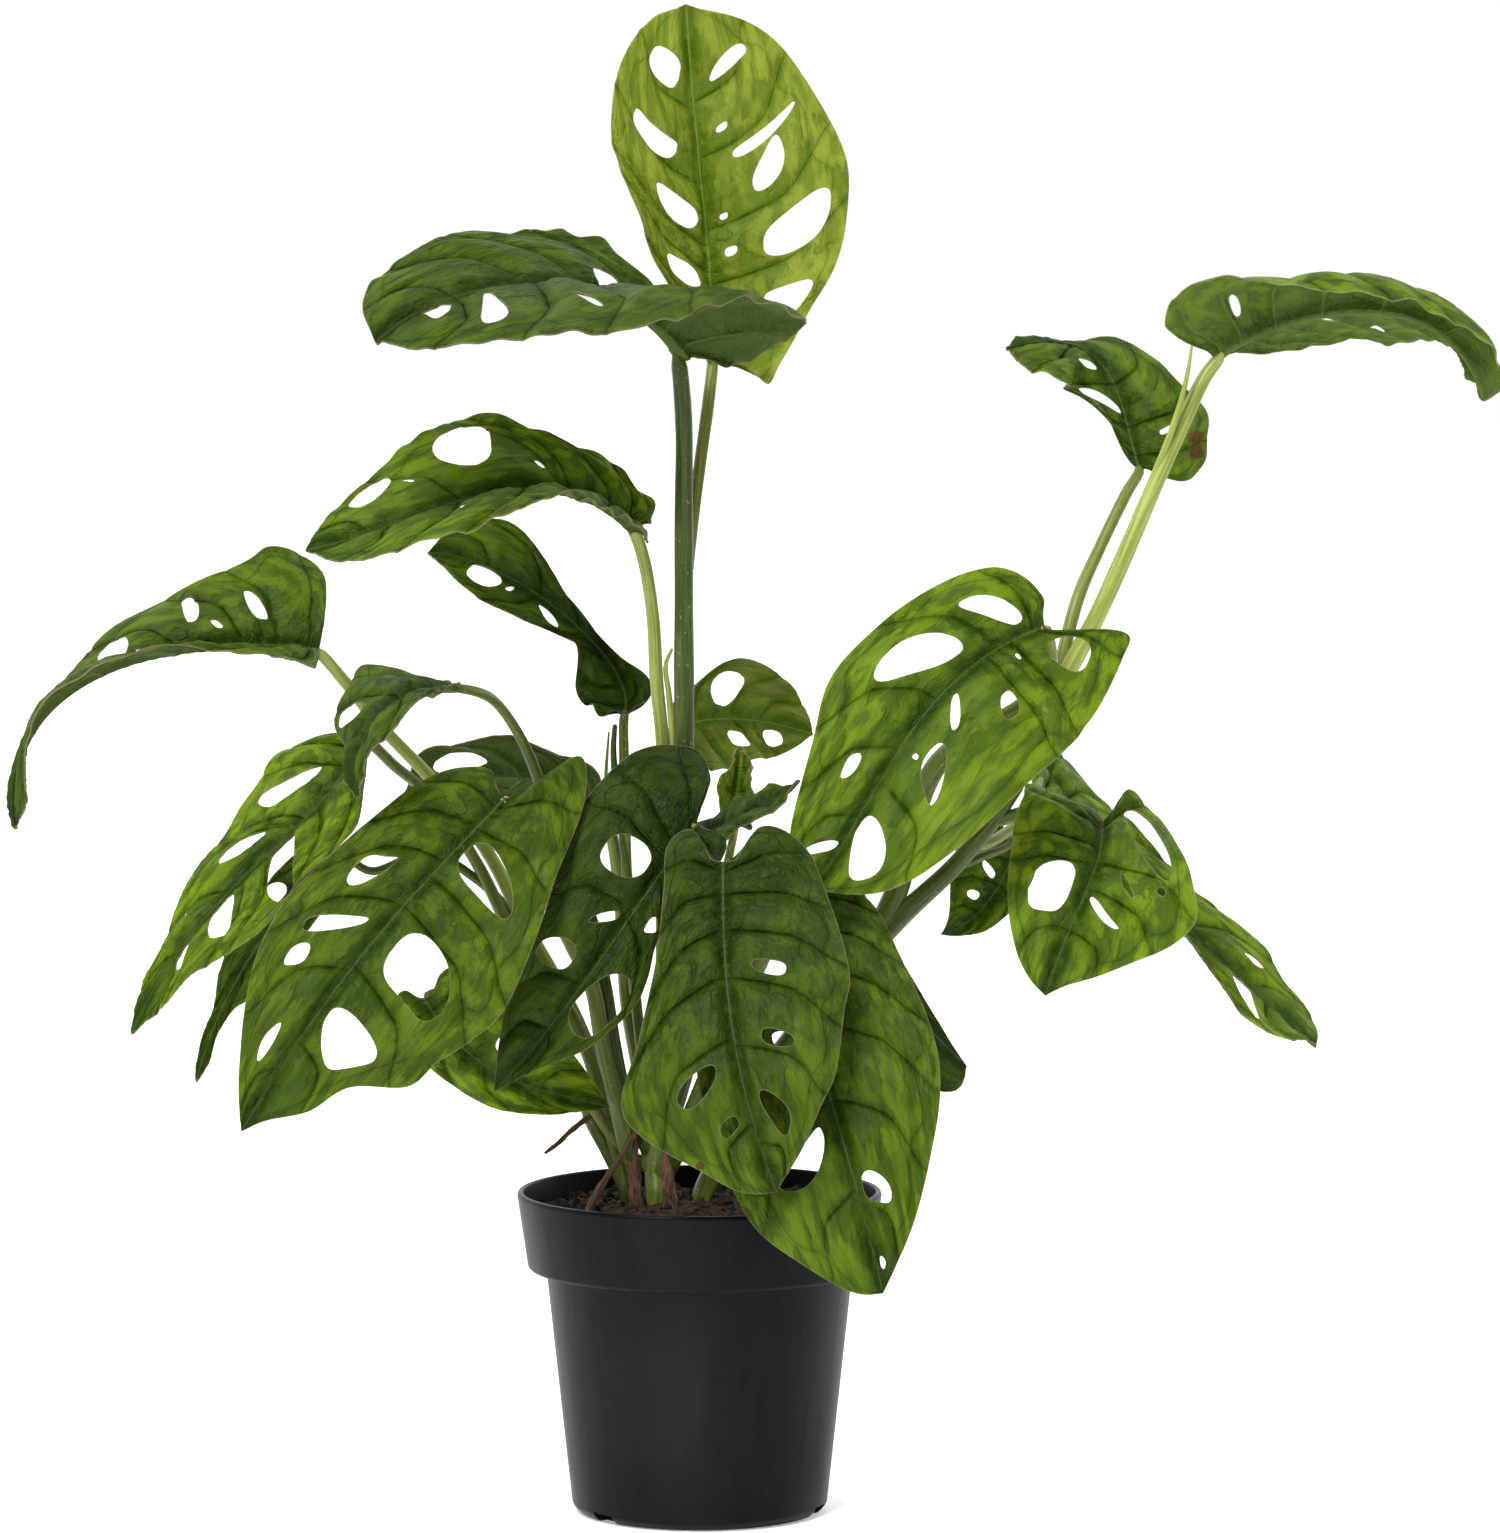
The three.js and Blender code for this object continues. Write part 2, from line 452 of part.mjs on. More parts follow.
    spine: [[-25, 22, 262], [-33, 30, 282], [-59, 30, 304], [-89, 20, 315]],
    face: [[-0.2, -1, 0.2], [0.3, -0.8, 0.3]],
    left: [[0, 3], [-0.04, 10], [0.12, 14], [0.3, 10], [0.5, 12], [0.7, 12], [0.88, 8]],
    right: [[0.02, 3], [0.08, 10], [0.2, 6], [0.35, 5], [0.5, 8], [0.68, 15], [0.8, 17], [0.92, 10]],
    holes: [[0, 0.83, 0.48, 0.3, 0.04], [0, 0.62, 0.42, 0.24, 0.032]],
  },
  leaf_18_small_middle: {
    spine: [[-9, 30, 256], [5, 45, 258], [21, 58, 256], [38, 65, 251]],
    face: [[0, -0.9, 0.4], [0, -0.9, 0.4]],
    left: [[0.05, 3], [0.1, 8], [0.3, 13], [0.5, 20], [0.65, 22], [0.8, 16], [0.93, 8]],
    right: [[0, 3], [-0.08, 9], [0.02, 19], [0.25, 19], [0.5, 16], [0.75, 12], [0.9, 7]],
    holes: [[0, 0.57, 0.46, 0.29, 0.08], [1, 0.6, 0.5, 0.2, 0.07], [1, 0.82, 0.5, 0.24, 0.04]],
    material: youngGreen,
  },
  leaf_19_small_inner: {
    spine: [[0, -6, 224], [11, -13, 230], [22, -19, 236], [32, -21, 244]],
    face: [[-0.3, -0.35, 0.9], [-0.3, -0.35, 0.9]],
    left: oval(14),
    right: oval(14),
  },
  leaf_20_unrolling: {
    spine: [[12, 17, 226], [12, 15, 234], [13, 15, 242], [14, 17, 251]],
    face: [[0, -1, 0], [0, -1, 0]],
    left: oval(9),
    right: oval(9),
    fold: [[50, 50, 50], [50, 50, 50]],
    material: youngGreen,
  },
  leaf_21_back_arch: {
    spine: [[-33, 45, 230], [-52, 50, 238], [-78, 55, 238], [-100, 50, 229]],
    face: [[0, 0.75, 0.65], [0, 0.75, 0.65]],
    left: oval(19),
    right: oval(19),
    holes: [[0, 0.7, 0.5, 0.25, 0.035]],
  },
  leaf_22_low_left: {
    spine: [[-89, -25, 172], [-71, -22, 151], [-50, -18, 141], [-29, -12, 135]],
    face: [[0, -1, -0.1], [0, -1, -0.1]],
    left: oval(26),
    right: oval(12),
    holes: [[0, 0.6, 0.5, 0.25, 0.05]],
  },
  leaf_23_low_middle: {
    spine: [[59, -20, 204], [67, -15, 184], [77, -8, 165], [88, 0, 147]],
    face: [[0, -1, 0], [0, -1, 0]],
    left: oval(6),
    right: oval(22),
  },
  leaf_24_low_behind: {
    spine: [[105, 28, 220], [100, 30, 205], [91, 32, 193], [80, 32, 187]],
    face: [[0, -1, 0], [0, -1, 0]],
    left: oval(18),
    right: oval(18),
    holes: [[1, 0.51, 0.3, 0.14, 0.037, -0.3], [1, 0.71, 0.4, 0.15, 0.031]],
  },
};

const FLAT = [[0, 0, 0], [0, 0, 0]];

const blades = {};
for (const [name, leaf] of Object.entries(LEAVES)) {
  const margins = [leaf.left, leaf.right];
  const blade = new Blade({ fold: FLAT, curl: FLAT, wave: 1.2, holes: [], ...leaf, margins });
  blades[name] = blade;
  addPiece(name, blade.geometry(), leaf.material ?? leafGreen);
}

// ---------------------------------------------------------------- stems and petioles
// Each stalk starts at the base of its leaf and runs down its points to the stem it grows from.
// radius: at the leaf end and at the foot.
const STEMS = {
  stem_left: [
    { leaf: 'leaf_12_back_left', radius: [1.8, 2.2],
      points: [[-100, -16, 247], [-88, -8, 232], [-69, -2, 209], [-52, 0, 182], [-40, 2, 152], [-36, 3, 134]] },
    { leaf: 'leaf_13_behind_left', radius: [1.5, 1.9],
      points: [[-108, 4, 211], [-89, 8, 199], [-66, 10, 179], [-46, 8, 151], [-36, 4, 130]] },
    { leaf: 'leaf_15_far_left', radius: [1.9, 2.3],
      points: [[-116, 6, 273], [-105, 8, 259], [-85, 12, 237], [-69, 14, 214], [-59, 14, 191], [-46, 10, 168],
        [-37, 5, 140]] },
    { radius: [2.4, 2.4], points: [[-38, 4, 142], [-36, 3, 130], [-30, 4, 118], [-23, 4, 101], [-22, 4, ROOT_DEPTH]] },
  ],
  stem_middle: [
    { leaf: 'leaf_01_top', radius: [1.9, 2.2],
      points: [[3, 12, 365], [0, 6, 343], [-3, 1, 320], [-5, -1, 300]] },
    { leaf: 'leaf_02_upper_left', radius: [2.6, 4],
      points: [[-5, -5, 359], [-5, -4, 333], [-5, -2, 288], [-5, 0, 252], [-6, 0, 202], [-9, 0, 162], [-12, 0, 133]] },
    { leaf: 'leaf_16_ruffled_left', radius: [2, 2.5],
      points: [[-18, -4, 314], [-15, 0, 294], [-14, 3, 274], [-12, 5, 252], [-12, 6, 218], [-12, 4, 175], [-13, 3, 132]] },
    { leaf: 'leaf_17_twisted_left', radius: [1.6, 2.1],
      points: [[-25, 24, 246], [-24, 22, 207], [-21, 14, 167], [-16, 5, 128], [-14, 2, 117]] },
    { leaf: 'leaf_18_small_middle', radius: [1.5, 2],
      points: [[-11, 28, 239], [-11, 24, 206], [-11, 14, 167], [-12, 5, 128], [-13, 2, 117]] },
    { leaf: 'leaf_14_small_bow', radius: [1.5, 2],
      points: [[-67, -34, 271], [-58, -24, 258], [-51, -14, 239], [-45, -8, 216], [-36, -4, 186], [-26, -2, 153],
        [-17, 0, 123]] },
    { leaf: 'leaf_22_low_left', radius: [1.5, 2],
      points: [[-83, -18, 174], [-68, -10, 170], [-46, -4, 150], [-28, 0, 123], [-18, 0, 114]] },
    { leaf: 'leaf_11_front_left', radius: [1.9, 2.3],
      points: [[-58, -34, 228], [-49, -20, 204], [-36, -10, 170], [-20, -2, 130], [-15, 0, 118]] },
    { leaf: 'leaf_10_middle_left', radius: [1.8, 2.2],
      points: [[-2, -20, 217], [-4, -10, 196], [-8, -3, 166], [-12, 0, 133]] },
    { leaf: 'leaf_09_front_middle', radius: [1.9, 2.3],
      points: [[11, -54, 223], [17, -41, 226], [18, -28, 219], [13, -17, 195], [0, -8, 160], [-10, -3, 130]] },
    { leaf: 'leaf_08_front_low', radius: [1.9, 2.3],
      points: [[26, -26, 198], [17, -16, 177], [5, -8, 150], [-6, -3, 123], [-12, -1, 113]] },
    { leaf: 'leaf_19_small_inner', radius: [1.2, 1.8],
      points: [[0, -5, 213], [-2, -4, 193], [-6, -1, 163], [-10, 0, 133]] },
    { leaf: 'leaf_20_unrolling', radius: [1.2, 1.8],
      points: [[9, 15, 211], [4, 10, 181], [-3, 5, 149], [-9, 3, 129], [-12, 2, 119]] },
    { leaf: 'leaf_21_back_arch', radius: [1.5, 1.9],
      points: [[-30, 42, 221], [-26, 34, 198], [-22, 22, 166], [-17, 9, 131], [-14, 2, 116]] },
    { radius: [4.2, 4.4], points: [[-11, 1, 150], [-13, 1, 128], [-14, 0, 101], [-14, 0, ROOT_DEPTH]] },
  ],
  stem_right: [
    { leaf: 'leaf_03_upper_right', radius: [2.2, 3.2],
      points: [[166, 17, 373], [157, 12, 355], [144, 6, 326], [130, 2, 295], [119, 0, 268]] },
    { leaf: 'leaf_04_arched', radius: [1.8, 2.3],
      points: [[141, 30, 334], [132, 20, 317], [124, 10, 300], [119, 2, 275]] },
    { leaf: 'leaf_05_big_right', radius: [1.8, 2.3],
      points: [[114, -22, 286], [116, -12, 269], [113, -4, 245]] },
    { leaf: 'leaf_06_hanging_right', radius: [1.8, 2.2],
      points: [[127, -5, 231], [118, 0, 230], [109, 3, 227], [102, 4, 222]] },
    { leaf: 'leaf_07_low_right', radius: [1.6, 2],
      points: [[113, 50, 237], [108, 32, 227], [97, 12, 218], [95, 6, 217]] },
    { leaf: 'leaf_23_low_middle', radius: [1.2, 1.6],
      points: [[56, -14, 199], [51, -4, 188], [46, 5, 174], [45, 8, 170]] },
    { leaf: 'leaf_24_low_behind', radius: [1.3, 1.7],
      points: [[101, 22, 217], [94, 13, 213], [86, 7, 209]] },
    { radius: [3.2, 4.7], points: [[119, 0, 272], [113, 0, 245], [102, 4, 225], [87, 6, 210], [68, 6, 193],
      [46, 8, 171], [26, 10, 148], [12, 10, 121], [2, 8, 103], [0, 5, ROOT_DEPTH]] },
  ],
};

/** Tube of one stalk; extra is added to its radius. */
function stalkTube({ leaf, radius, points }, extra = 0) {
  const route = leaf ? [LEAVES[leaf].spine[0], ...points] : points;
  const width = (i) => THREE.MathUtils.lerp(radius[0], radius[1], i / (route.length - 1)) + extra;
  return tube(route.map((point, i) => [...point, width(i)]));
}

/** A stalk that stops short of its own blade. */
function stalkBody(stalk) {
  const body = stalkTube(stalk);
  if (!stalk.leaf) return body;
  const blade = blades[stalk.leaf];
  return mainBody(body.subtract(solidOf(blade.geometry(GAP))).subtract(solidOf(blade.geometry())));
}

const grownStems = {};
for (const [name, stalks] of Object.entries(STEMS)) {
  grownStems[name] = wasm.Manifold.union(stalks.map((stalk) => stalkTube(stalk, GAP)));
  addPiece(name, geometryOf(wasm.Manifold.union(stalks.map(stalkBody))), stemGreen);
}

// ---------------------------------------------------------------- dry remains at the foot of the stems
const REMAINS = {
  dry_stalk: [[-20, -6, 127, 1.6], [-27, -12, 118, 1.4], [-38, -16, 100, 1.3], [-40, -17, 94, 1.2]],
  dry_sheath: [[-20.5, -3, 131, 1], [-20, -3.5, 116, 1.9], [-18, -4, 102, 2.2], [-17.5, -4, 90, 2]],
  dry_stub: [[-9, -6, 121, 1], [-8, -7, 113, 2.1], [-7, -7, 102, 2.3], [-7, -7, 90, 2.2]],
  dry_root: [[-35, 1, 131, 1.2], [-42, -1, 126, 1], [-47, -3, 121.5, 0.8], [-50.5, -4, 119, 0.6]],
};
const remains = {};
for (const [name, stations] of Object.entries(REMAINS)) {
  const cleared = Object.values(grownStems).reduce((body, stem) => body.subtract(stem), tube(stations, 8));
  remains[name] = mainBody(cleared);
  addPiece(name, geometryOf(remains[name]), deadBrown);
}

// ---------------------------------------------------------------- pot and soil
const LIP_WIDTH = 2;
const FLOOR = 2.2;              // thickness of the pot's floor
const BASE_CORNER = 2.5;        // chamfer of the bottom edge
const wallTop = POT_HEIGHT - BAND_HEIGHT;
const innerBase = BASE_RADIUS - POT_WALL + 0.3;
const potOutline = [
  [0, 0], [BASE_RADIUS - BASE_CORNER, 0], [BASE_RADIUS, BASE_CORNER], [NECK_RADIUS, wallTop],
  [BAND_LOW_RADIUS - 1, wallTop], [BAND_LOW_RADIUS, wallTop + 1], [RIM_RADIUS, POT_HEIGHT - 1],
  [RIM_RADIUS - 0.5, POT_HEIGHT], [RIM_RADIUS - LIP_WIDTH, POT_HEIGHT],
  [BAND_LOW_RADIUS - POT_WALL, wallTop + POT_WALL], [NECK_RADIUS - POT_WALL, wallTop + POT_WALL],
  [innerBase, FLOOR], [0, FLOOR],
];
const NOTCH_ANGLES = [-139, -19, 101];   // slots through the bottom edge, in degrees from +X
const NOTCH_WIDTH = 9;
const NOTCH_HEIGHT = 3.4;
const DRAIN_RADIUS = 3;
const DRAIN_CIRCLE = 24;
const DRAIN_ANGLES = [0, 60, 120, 180, 240, 300];

let pot = turned(potOutline, POT_SIDES);
for (const angle of NOTCH_ANGLES) {
  const slot = new THREE.BoxGeometry(16, NOTCH_WIDTH, 2 * NOTCH_HEIGHT);
  slot.translate(BASE_RADIUS + 2, 0, 0);
  slot.rotateZ(THREE.MathUtils.degToRad(angle));
  pot = pot.subtract(solidOf(slot));
}
for (const angle of DRAIN_ANGLES) {
  const drain = new THREE.CylinderGeometry(DRAIN_RADIUS, DRAIN_RADIUS, 3 * FLOOR, 10);
  drain.rotateX(Math.PI / 2);
  drain.translate(DRAIN_CIRCLE, 0, 0);
  drain.rotateZ(THREE.MathUtils.degToRad(angle + 30));
  pot = pot.subtract(solidOf(drain));
}
addPiece('pot', geometryOf(pot), potBlack);

const bandInner = (height) => THREE.MathUtils.mapLinear(
  height, wallTop + POT_WALL, POT_HEIGHT, BAND_LOW_RADIUS - POT_WALL, RIM_RADIUS - LIP_WIDTH) - GAP - 0.1;
const soilOutline = [
  [0, FLOOR + GAP], [innerBase - GAP - 0.1, FLOOR + GAP],
  [NECK_RADIUS - POT_WALL - GAP - 0.1, wallTop + POT_WALL + GAP],
  [bandInner(wallTop + POT_WALL + GAP), wallTop + POT_WALL + GAP], [bandInner(SOIL_LEVEL), SOIL_LEVEL],
  [48, SOIL_LEVEL + 0.4 * SOIL_HUMP], [36, SOIL_LEVEL + 0.7 * SOIL_HUMP], [22, SOIL_LEVEL + SOIL_HUMP],
  [0, SOIL_LEVEL + SOIL_HUMP],
];
let soil = turned(soilOutline, SOIL_SIDES);
const buried = Object.values(STEMS).map((stalks) => stalks[stalks.length - 1]);
for (const { radius, points } of buried) {
  const [x, y, z] = points[points.length - 1];
  soil = soil.subtract(stalkTube({ radius, points: [...points.slice(0, -1), [x, y, z - GAP]] }, GAP));
}
for (const stations of Object.values(REMAINS)) {
  const wider = stations.map(([x, y, z, radius]) => [x, y, z, radius + GAP]);
  const [x, y, z, radius] = wider[wider.length - 1];
  soil = soil.subtract(tube([...wider.slice(0, -1), [x, y, z - GAP, radius]], 8));
}
addPiece('soil', geometryOf(mainBody(soil)), soilBrown);

export default plant;
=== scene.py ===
import functools
import math

import bpy
import numpy as np
from mathutils.geometry import delaunay_2d_cdt
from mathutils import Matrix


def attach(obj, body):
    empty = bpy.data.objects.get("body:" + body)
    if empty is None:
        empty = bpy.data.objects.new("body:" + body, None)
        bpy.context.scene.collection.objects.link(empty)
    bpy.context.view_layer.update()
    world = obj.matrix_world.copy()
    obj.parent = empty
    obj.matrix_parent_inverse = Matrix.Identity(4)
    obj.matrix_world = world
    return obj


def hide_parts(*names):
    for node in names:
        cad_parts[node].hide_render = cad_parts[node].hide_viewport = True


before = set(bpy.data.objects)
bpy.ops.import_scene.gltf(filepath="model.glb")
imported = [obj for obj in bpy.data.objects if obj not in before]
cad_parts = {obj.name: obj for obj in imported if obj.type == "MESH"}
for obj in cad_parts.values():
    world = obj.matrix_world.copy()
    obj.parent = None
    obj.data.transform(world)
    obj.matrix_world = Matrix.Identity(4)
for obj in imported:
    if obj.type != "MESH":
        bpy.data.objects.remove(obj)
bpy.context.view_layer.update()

MM = 0.001
TURN = 2 * math.pi

# ---------------------------------------------------------------- camera, world and floor
CAMERA_PLACE = (16.6, -2500, 469)
CAMERA_TILT = 5.1               # degrees below level
CAMERA_LENS = 180.1             # on a 36 mm high picture
FLOOR_SIZE = 16000
FLOOR_GAP = 0.3                 # from the pot's foot down to the floor
# name, size (m), spread (degrees), watts, place (m), tilt and turn (degrees)
LAMPS = (
    ("softbox", (0.8, 0.9), 180, 95, (-0.7, -1.9, 2.3), 46, -20),
    ("pot_light", (0.06, 0.08), 3.6, 0.05, (-0.5, -2.3, 0.042), 90, -12),
)
WHITE = (1, 1, 1, 1)
MODES = {"Math": "operation", "VectorMath": "operation", "MapRange": "interpolation_type",
         "Mix": "data_type"}


def linear(hex_code):
    """sRGB hex value as linear red, green, blue and a full alpha."""
    parts = [int(hex_code[i:i + 2], 16) / 255 for i in (1, 3, 5)]
    return (*(c / 12.92 if c <= 0.04045 else ((c + 0.055) / 1.055) ** 2.4 for c in parts), 1)


def add_node(tree, kind, inputs=(), mode=None, out=0, **settings):
    """Adds one node. inputs sets or links its sockets, in their order or by name or number in a dict, and
    hex colours are made linear. mode is its operation or other main choice. The output out comes back."""
    made = tree.nodes.new("ShaderNode" + kind)
    if mode:
        settings[MODES[kind]] = mode
    for key, value in settings.items():
        setattr(made, key, value)
    for key, value in inputs.items() if isinstance(inputs, dict) else enumerate(inputs):
        if isinstance(value, bpy.types.NodeSocket):
            tree.links.new(value, made.inputs[key])
        else:
            made.inputs[key].default_value = linear(value) if isinstance(value, str) else value
    return made.outputs[out] if made.outputs else made


def start_finish(name, attributes=()):
    """An empty material, a function that adds a node to it, and outputs that read a mesh's attributes."""
    material = bpy.data.materials.new(name)
    material.use_nodes = True
    material.node_tree.nodes.clear()
    node = functools.partial(add_node, material.node_tree)
    return material, node, {key: node("Attribute", out="Fac", attribute_name=key) for key in attributes}


def end_finish(material, node, skin, height, strength, depth, coat):
    """Ends a material: one principled surface of a skin colour, with a bump of a height, depth mm deep."""
    bump = node("Bump", {"Strength": strength, "Distance": depth * MM, "Height": height})
    surface = node("BsdfPrincipled", {"Base Color": skin, "Normal": bump, **coat})
    node("OutputMaterial", {"Surface": surface})
    return material


def unit(vectors):
    """Vectors of length 1 along the given ones."""
    return vectors / np.maximum(np.linalg.norm(vectors, axis=-1, keepdims=True), 1e-9)


def smoothstep(x):
    """Eases from 0 to 1 as x does, level at both ends: x squared times 3 minus 2 x."""
    x = np.clip(x, 0, 1)
    return x * x * (3 - 2 * x)


def make_piece(name, points, faces, finish, values=None, node=None, slot=None, sharp=50):
    """Mesh object from points in mm and a list of face arrays, one for each number of corners.
    values are numbers kept for each point. Edges bent by more than sharp degrees stay crisp."""
    mesh = bpy.data.meshes.new(name)
    sizes = np.concatenate([np.full(len(f), f.shape[1]) for f in faces])
    corners = np.concatenate([f.ravel() for f in faces])
    mesh.vertices.add(len(points))
    mesh.vertices.foreach_set("co", np.asarray(points * MM, np.float32).ravel())
    mesh.loops.add(len(corners))
    mesh.loops.foreach_set("vertex_index", corners.astype(np.int32))
    mesh.polygons.add(len(sizes))
    mesh.polygons.foreach_set("loop_start", (np.cumsum(sizes) - sizes).astype(np.int32))
    mesh.update(calc_edges=True)
    mesh.shade_smooth()
    mesh.set_sharp_from_angle(angle=math.radians(sharp))
    for key, numbers in (values or {}).items():
        mesh.attributes.new(key, "FLOAT", "POINT").data.foreach_set("value", np.float32(numbers))
    mesh.materials.append(finish)
    piece = bpy.data.objects.new(name, mesh)
    bpy.context.scene.collection.objects.link(piece)
    if slot:
        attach(piece, "root")
    if node:
        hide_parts(node)
    return piece


def build_studio():
    """Camera, an even white surround that is brighter behind the plant than before it, one large soft
    light from the upper left, a small low one that reaches the pot alone, and a white floor."""
    scene = bpy.context.scene
    camera = bpy.data.objects.new("camera", bpy.data.cameras.new("camera"))
    camera.location = [c * MM for c in CAMERA_PLACE]
    camera.rotation_euler = (math.radians(90 - CAMERA_TILT), 0, 0)
    camera.data.lens = CAMERA_LENS
    camera.data.clip_end = 50
    scene.collection.objects.link(camera)
    scene.camera = camera
    scene.view_settings.view_transform = "Standard"

    scene.world = bpy.data.worlds.new("studio")
    scene.world.use_nodes = True
    scene.world.node_tree.nodes.clear()
    node = functools.partial(add_node, scene.world.node_tree)
    towards = node("VectorMath", (node("TexCoord", out="Generated"), (0, 0.8, 0.5)), "DOT_PRODUCT", "Value")
    power = node("MapRange", (towards, -0.4, 0.9, 0.2, 1.7), "SMOOTHSTEP")
    surround = node("Background", (WHITE, power))
    backdrop = node("Background", (WHITE, 1.02))
    seen = node("LightPath", out="Is Camera Ray")
    node("OutputWorld", {"Surface": node("MixShader", (seen, surround, backdrop))})

    for name, size, spread, watts, place, tilt, turn in LAMPS:
        light = bpy.data.lights.new(name, "AREA")
        light.shape = "RECTANGLE"
        light.size, light.size_y = size
        light.energy = watts
        light.spread = math.radians(spread)
        lamp = bpy.data.objects.new(name, light)
        lamp.location = place
        lamp.rotation_euler = (math.radians(tilt), 0, math.radians(turn))
        scene.collection.objects.link(lamp)

    paper, node, _ = start_finish("white_backdrop_paper")
    sheet = node("BsdfPrincipled", {"Base Color": (0.9, 0.9, 0.9, 1), "Roughness": 0.9})
    glow = node("Emission", {"Color": WHITE, "Strength": 0.35})
    node("OutputMaterial", {"Surface": node("AddShader", (sheet, glow))})
    half = FLOOR_SIZE / 2
    square = np.array([(x * half, y * half, -FLOOR_GAP) for x, y in ((-1, -1), (1, -1), (1, 1), (-1, 1))])
    make_piece("floor", square, [np.array([[0, 1, 2, 3]])], paper)


# ---------------------------------------------------------------- finishes
def leaf_finish(name, blade, cloud, dark, rib, under, through, shade, rim):
    """Living leaf. A leathery, waxy skin: soft gloss, thin sunken veins, fine creases and brown withered
    spots. Light comes through the tissue as yellow-green clouds between the veins, darker along the midrib
    where the leaf is thick. These clouds are also painted into the upper skin as painted light. The veins,
    creases and the band by the midrib are painted darker as painted shade in their grooves, and leaves of
    low tone get painted shade."""
    material, node, read = start_finish(name, (
        "along", "across", "phase", "pitch", "out", "span", "edge", "upper", "tone", "keel", "dead"))

    # Clouds and crinkles are drawn out along the veins; grain is fine and even. Scales are 1 / size in mm.
    outward = node("Math", (read["out"], read["span"]), "MULTIPLY")
    beside_veins = node("CombineXYZ", (read["phase"], outward, read["across"]))
    drawn = node("VectorMath", (beside_veins, (9, 0.62, 0.05)), "MULTIPLY")
    place = node("CombineXYZ", (read["along"], read["across"], read["upper"]))
    clouds, patches, crinkle, folds, grain, wobble = (
        node("TexNoise", {"Vector": over, "Scale": 1 / size, "Detail": detail, "Roughness": rough})
        for over, size, detail, rough in (
            (drawn, 3, 3, 0.55), (place, 16, 2, 0.5), (drawn, 1.6, 2, 0.5),
            (drawn, 6, 3, 0.55), (place, 0.7, 2, 0.6), (place, 14, 1, 0.5)))

    # Distances in mm from the side veins, the looping vein inside the margin, and the midrib.
    sway = node("MapRange", (wobble, 0, 1, -0.035, 0.035))
    beside = node("Math", (node("Math", (read["phase"], sway), "ADD"), 0.5), "PINGPONG")
    vein_mm = node("Math", (beside, read["pitch"]), "MULTIPLY")
    loop_at = node("MapRange", (beside, 0, 0.5, 0.8, 0.88), "SMOOTHERSTEP")
    off_loop = node("Math", (node("Math", (read["out"], loop_at), "SUBTRACT"),), "ABSOLUTE")
    loop_mm = node("Math", (off_loop, read["span"]), "MULTIPLY")
    rib_mm = node("Math", (read["across"],), "ABSOLUTE")
    rib_share = node("Math", (rib_mm, read["keel"]), "DIVIDE")

    # Each mask goes from its first two numbers to its last two: strongest on its line, fading out from it.
    vein = node("MapRange", (vein_mm, 0.05, 0.6, 1, 0), "SMOOTHSTEP")
    loop = node("MapRange", (loop_mm, 0.08, 0.36, 0.7, 0), "SMOOTHSTEP")
    lines = node("Math", (vein, loop), "MAXIMUM")
    band = node("MapRange", (vein_mm, 0.2, 3.2, 0.55, 0), "SMOOTHSTEP")
    loop_band = node("MapRange", (loop_mm, 0.2, 2.2, 0.35, 0), "SMOOTHSTEP")
    thick = node("MapRange", (rib_mm, 0.4, 5, 1, 0), "SMOOTHSTEP")
    dense = node("Math", (node("Math", (band, loop_band), "MAXIMUM"), thick), "MAXIMUM")
    midrib = node("MapRange", (rib_share, 0.5, 1.1, 0.5, 0), "SMOOTHSTEP")
    margin = node("MapRange", (read["edge"], 0.1, 0.3, 0.7, 0), "SMOOTHSTEP")
    # Painted light: light is the open tissue between the veins plus the clouds, stronger towards the margin.
    # It mixes the cloud colour into the upper skin as painted light shining through, and the through colour
    # into the glow.
    open_tissue = node("MapRange", (dense, 0, 1, 0.4, 0))
    billow = node("MapRange", (clouds, 0.4, 0.62, 0, 0.6), "SMOOTHSTEP")
    thin = node("MapRange", (read["out"], 0.05, 0.75, 0.6, 1.05), "SMOOTHSTEP")
    light = node("Math", (node("Math", (open_tissue, billow), "ADD"), thin), "MULTIPLY", use_clamp=True)

    # Creases: thin lines where the drawn-out noise crosses its mean, only in some patches. They sink in the
    # bump and are painted darker, as painted shade in the creases.
    off_mean = node("Math", (node("Math", (folds, 0.5), "SUBTRACT"),), "ABSOLUTE")
    crease = node("MapRange", (off_mean, 0, 0.035, 1, 0), "SMOOTHSTEP")
    here = node("MapRange", (wobble, 0.4, 0.6, 0, 1))
    creases = node("Math", (node("Math", (crease, here), "MULTIPLY"), 0.8), "MULTIPLY")
    marks = node("Math", (lines, creases), "MAXIMUM")

    # Withered spots: brown where the tissue has died, with a frayed edge.
    frayed = node("Math", (grain, 1.2, read["dead"]), "MULTIPLY_ADD")
    brown = node("MapRange", (frayed, 1.4, 1.8, 0.9, 0), "SMOOTHSTEP")

    # Each colour lies over those before it: first on the upper skin, with painted shade on leaves and parts
    # of leaves of low tone, then on the lower skin and round the edge, and then in the light that comes
    # through.
    dusk = node("MapRange", (patches, 0.42, 0.65, 0, 0.35), "SMOOTHSTEP")
    # Painted shade: a low tone darkens the upper skin and the light through, on leaves and parts of leaves
    # that lie in shade; a high tone lets more light through.
    tone_shade = node("MapRange", (read["tone"], 0, 0.8, 0.8, 0))
    # Painted shade: deep darkens the skin along the veins, the looping vein, the creases and the band by the
    # midrib, as shade in their grooves, and darkens the light through there too.
    deep = node("Math", (node("Math", (thick, marks), "MAXIMUM"), 0.3), "MULTIPLY")
    pale = node("Math", (lines, midrib), "MAXIMUM")
    tone_glow = node("MapRange", (read["tone"], 0, 1, 0.25, 1))
    clear = node("Math", (light, tone_glow), "MULTIPLY")

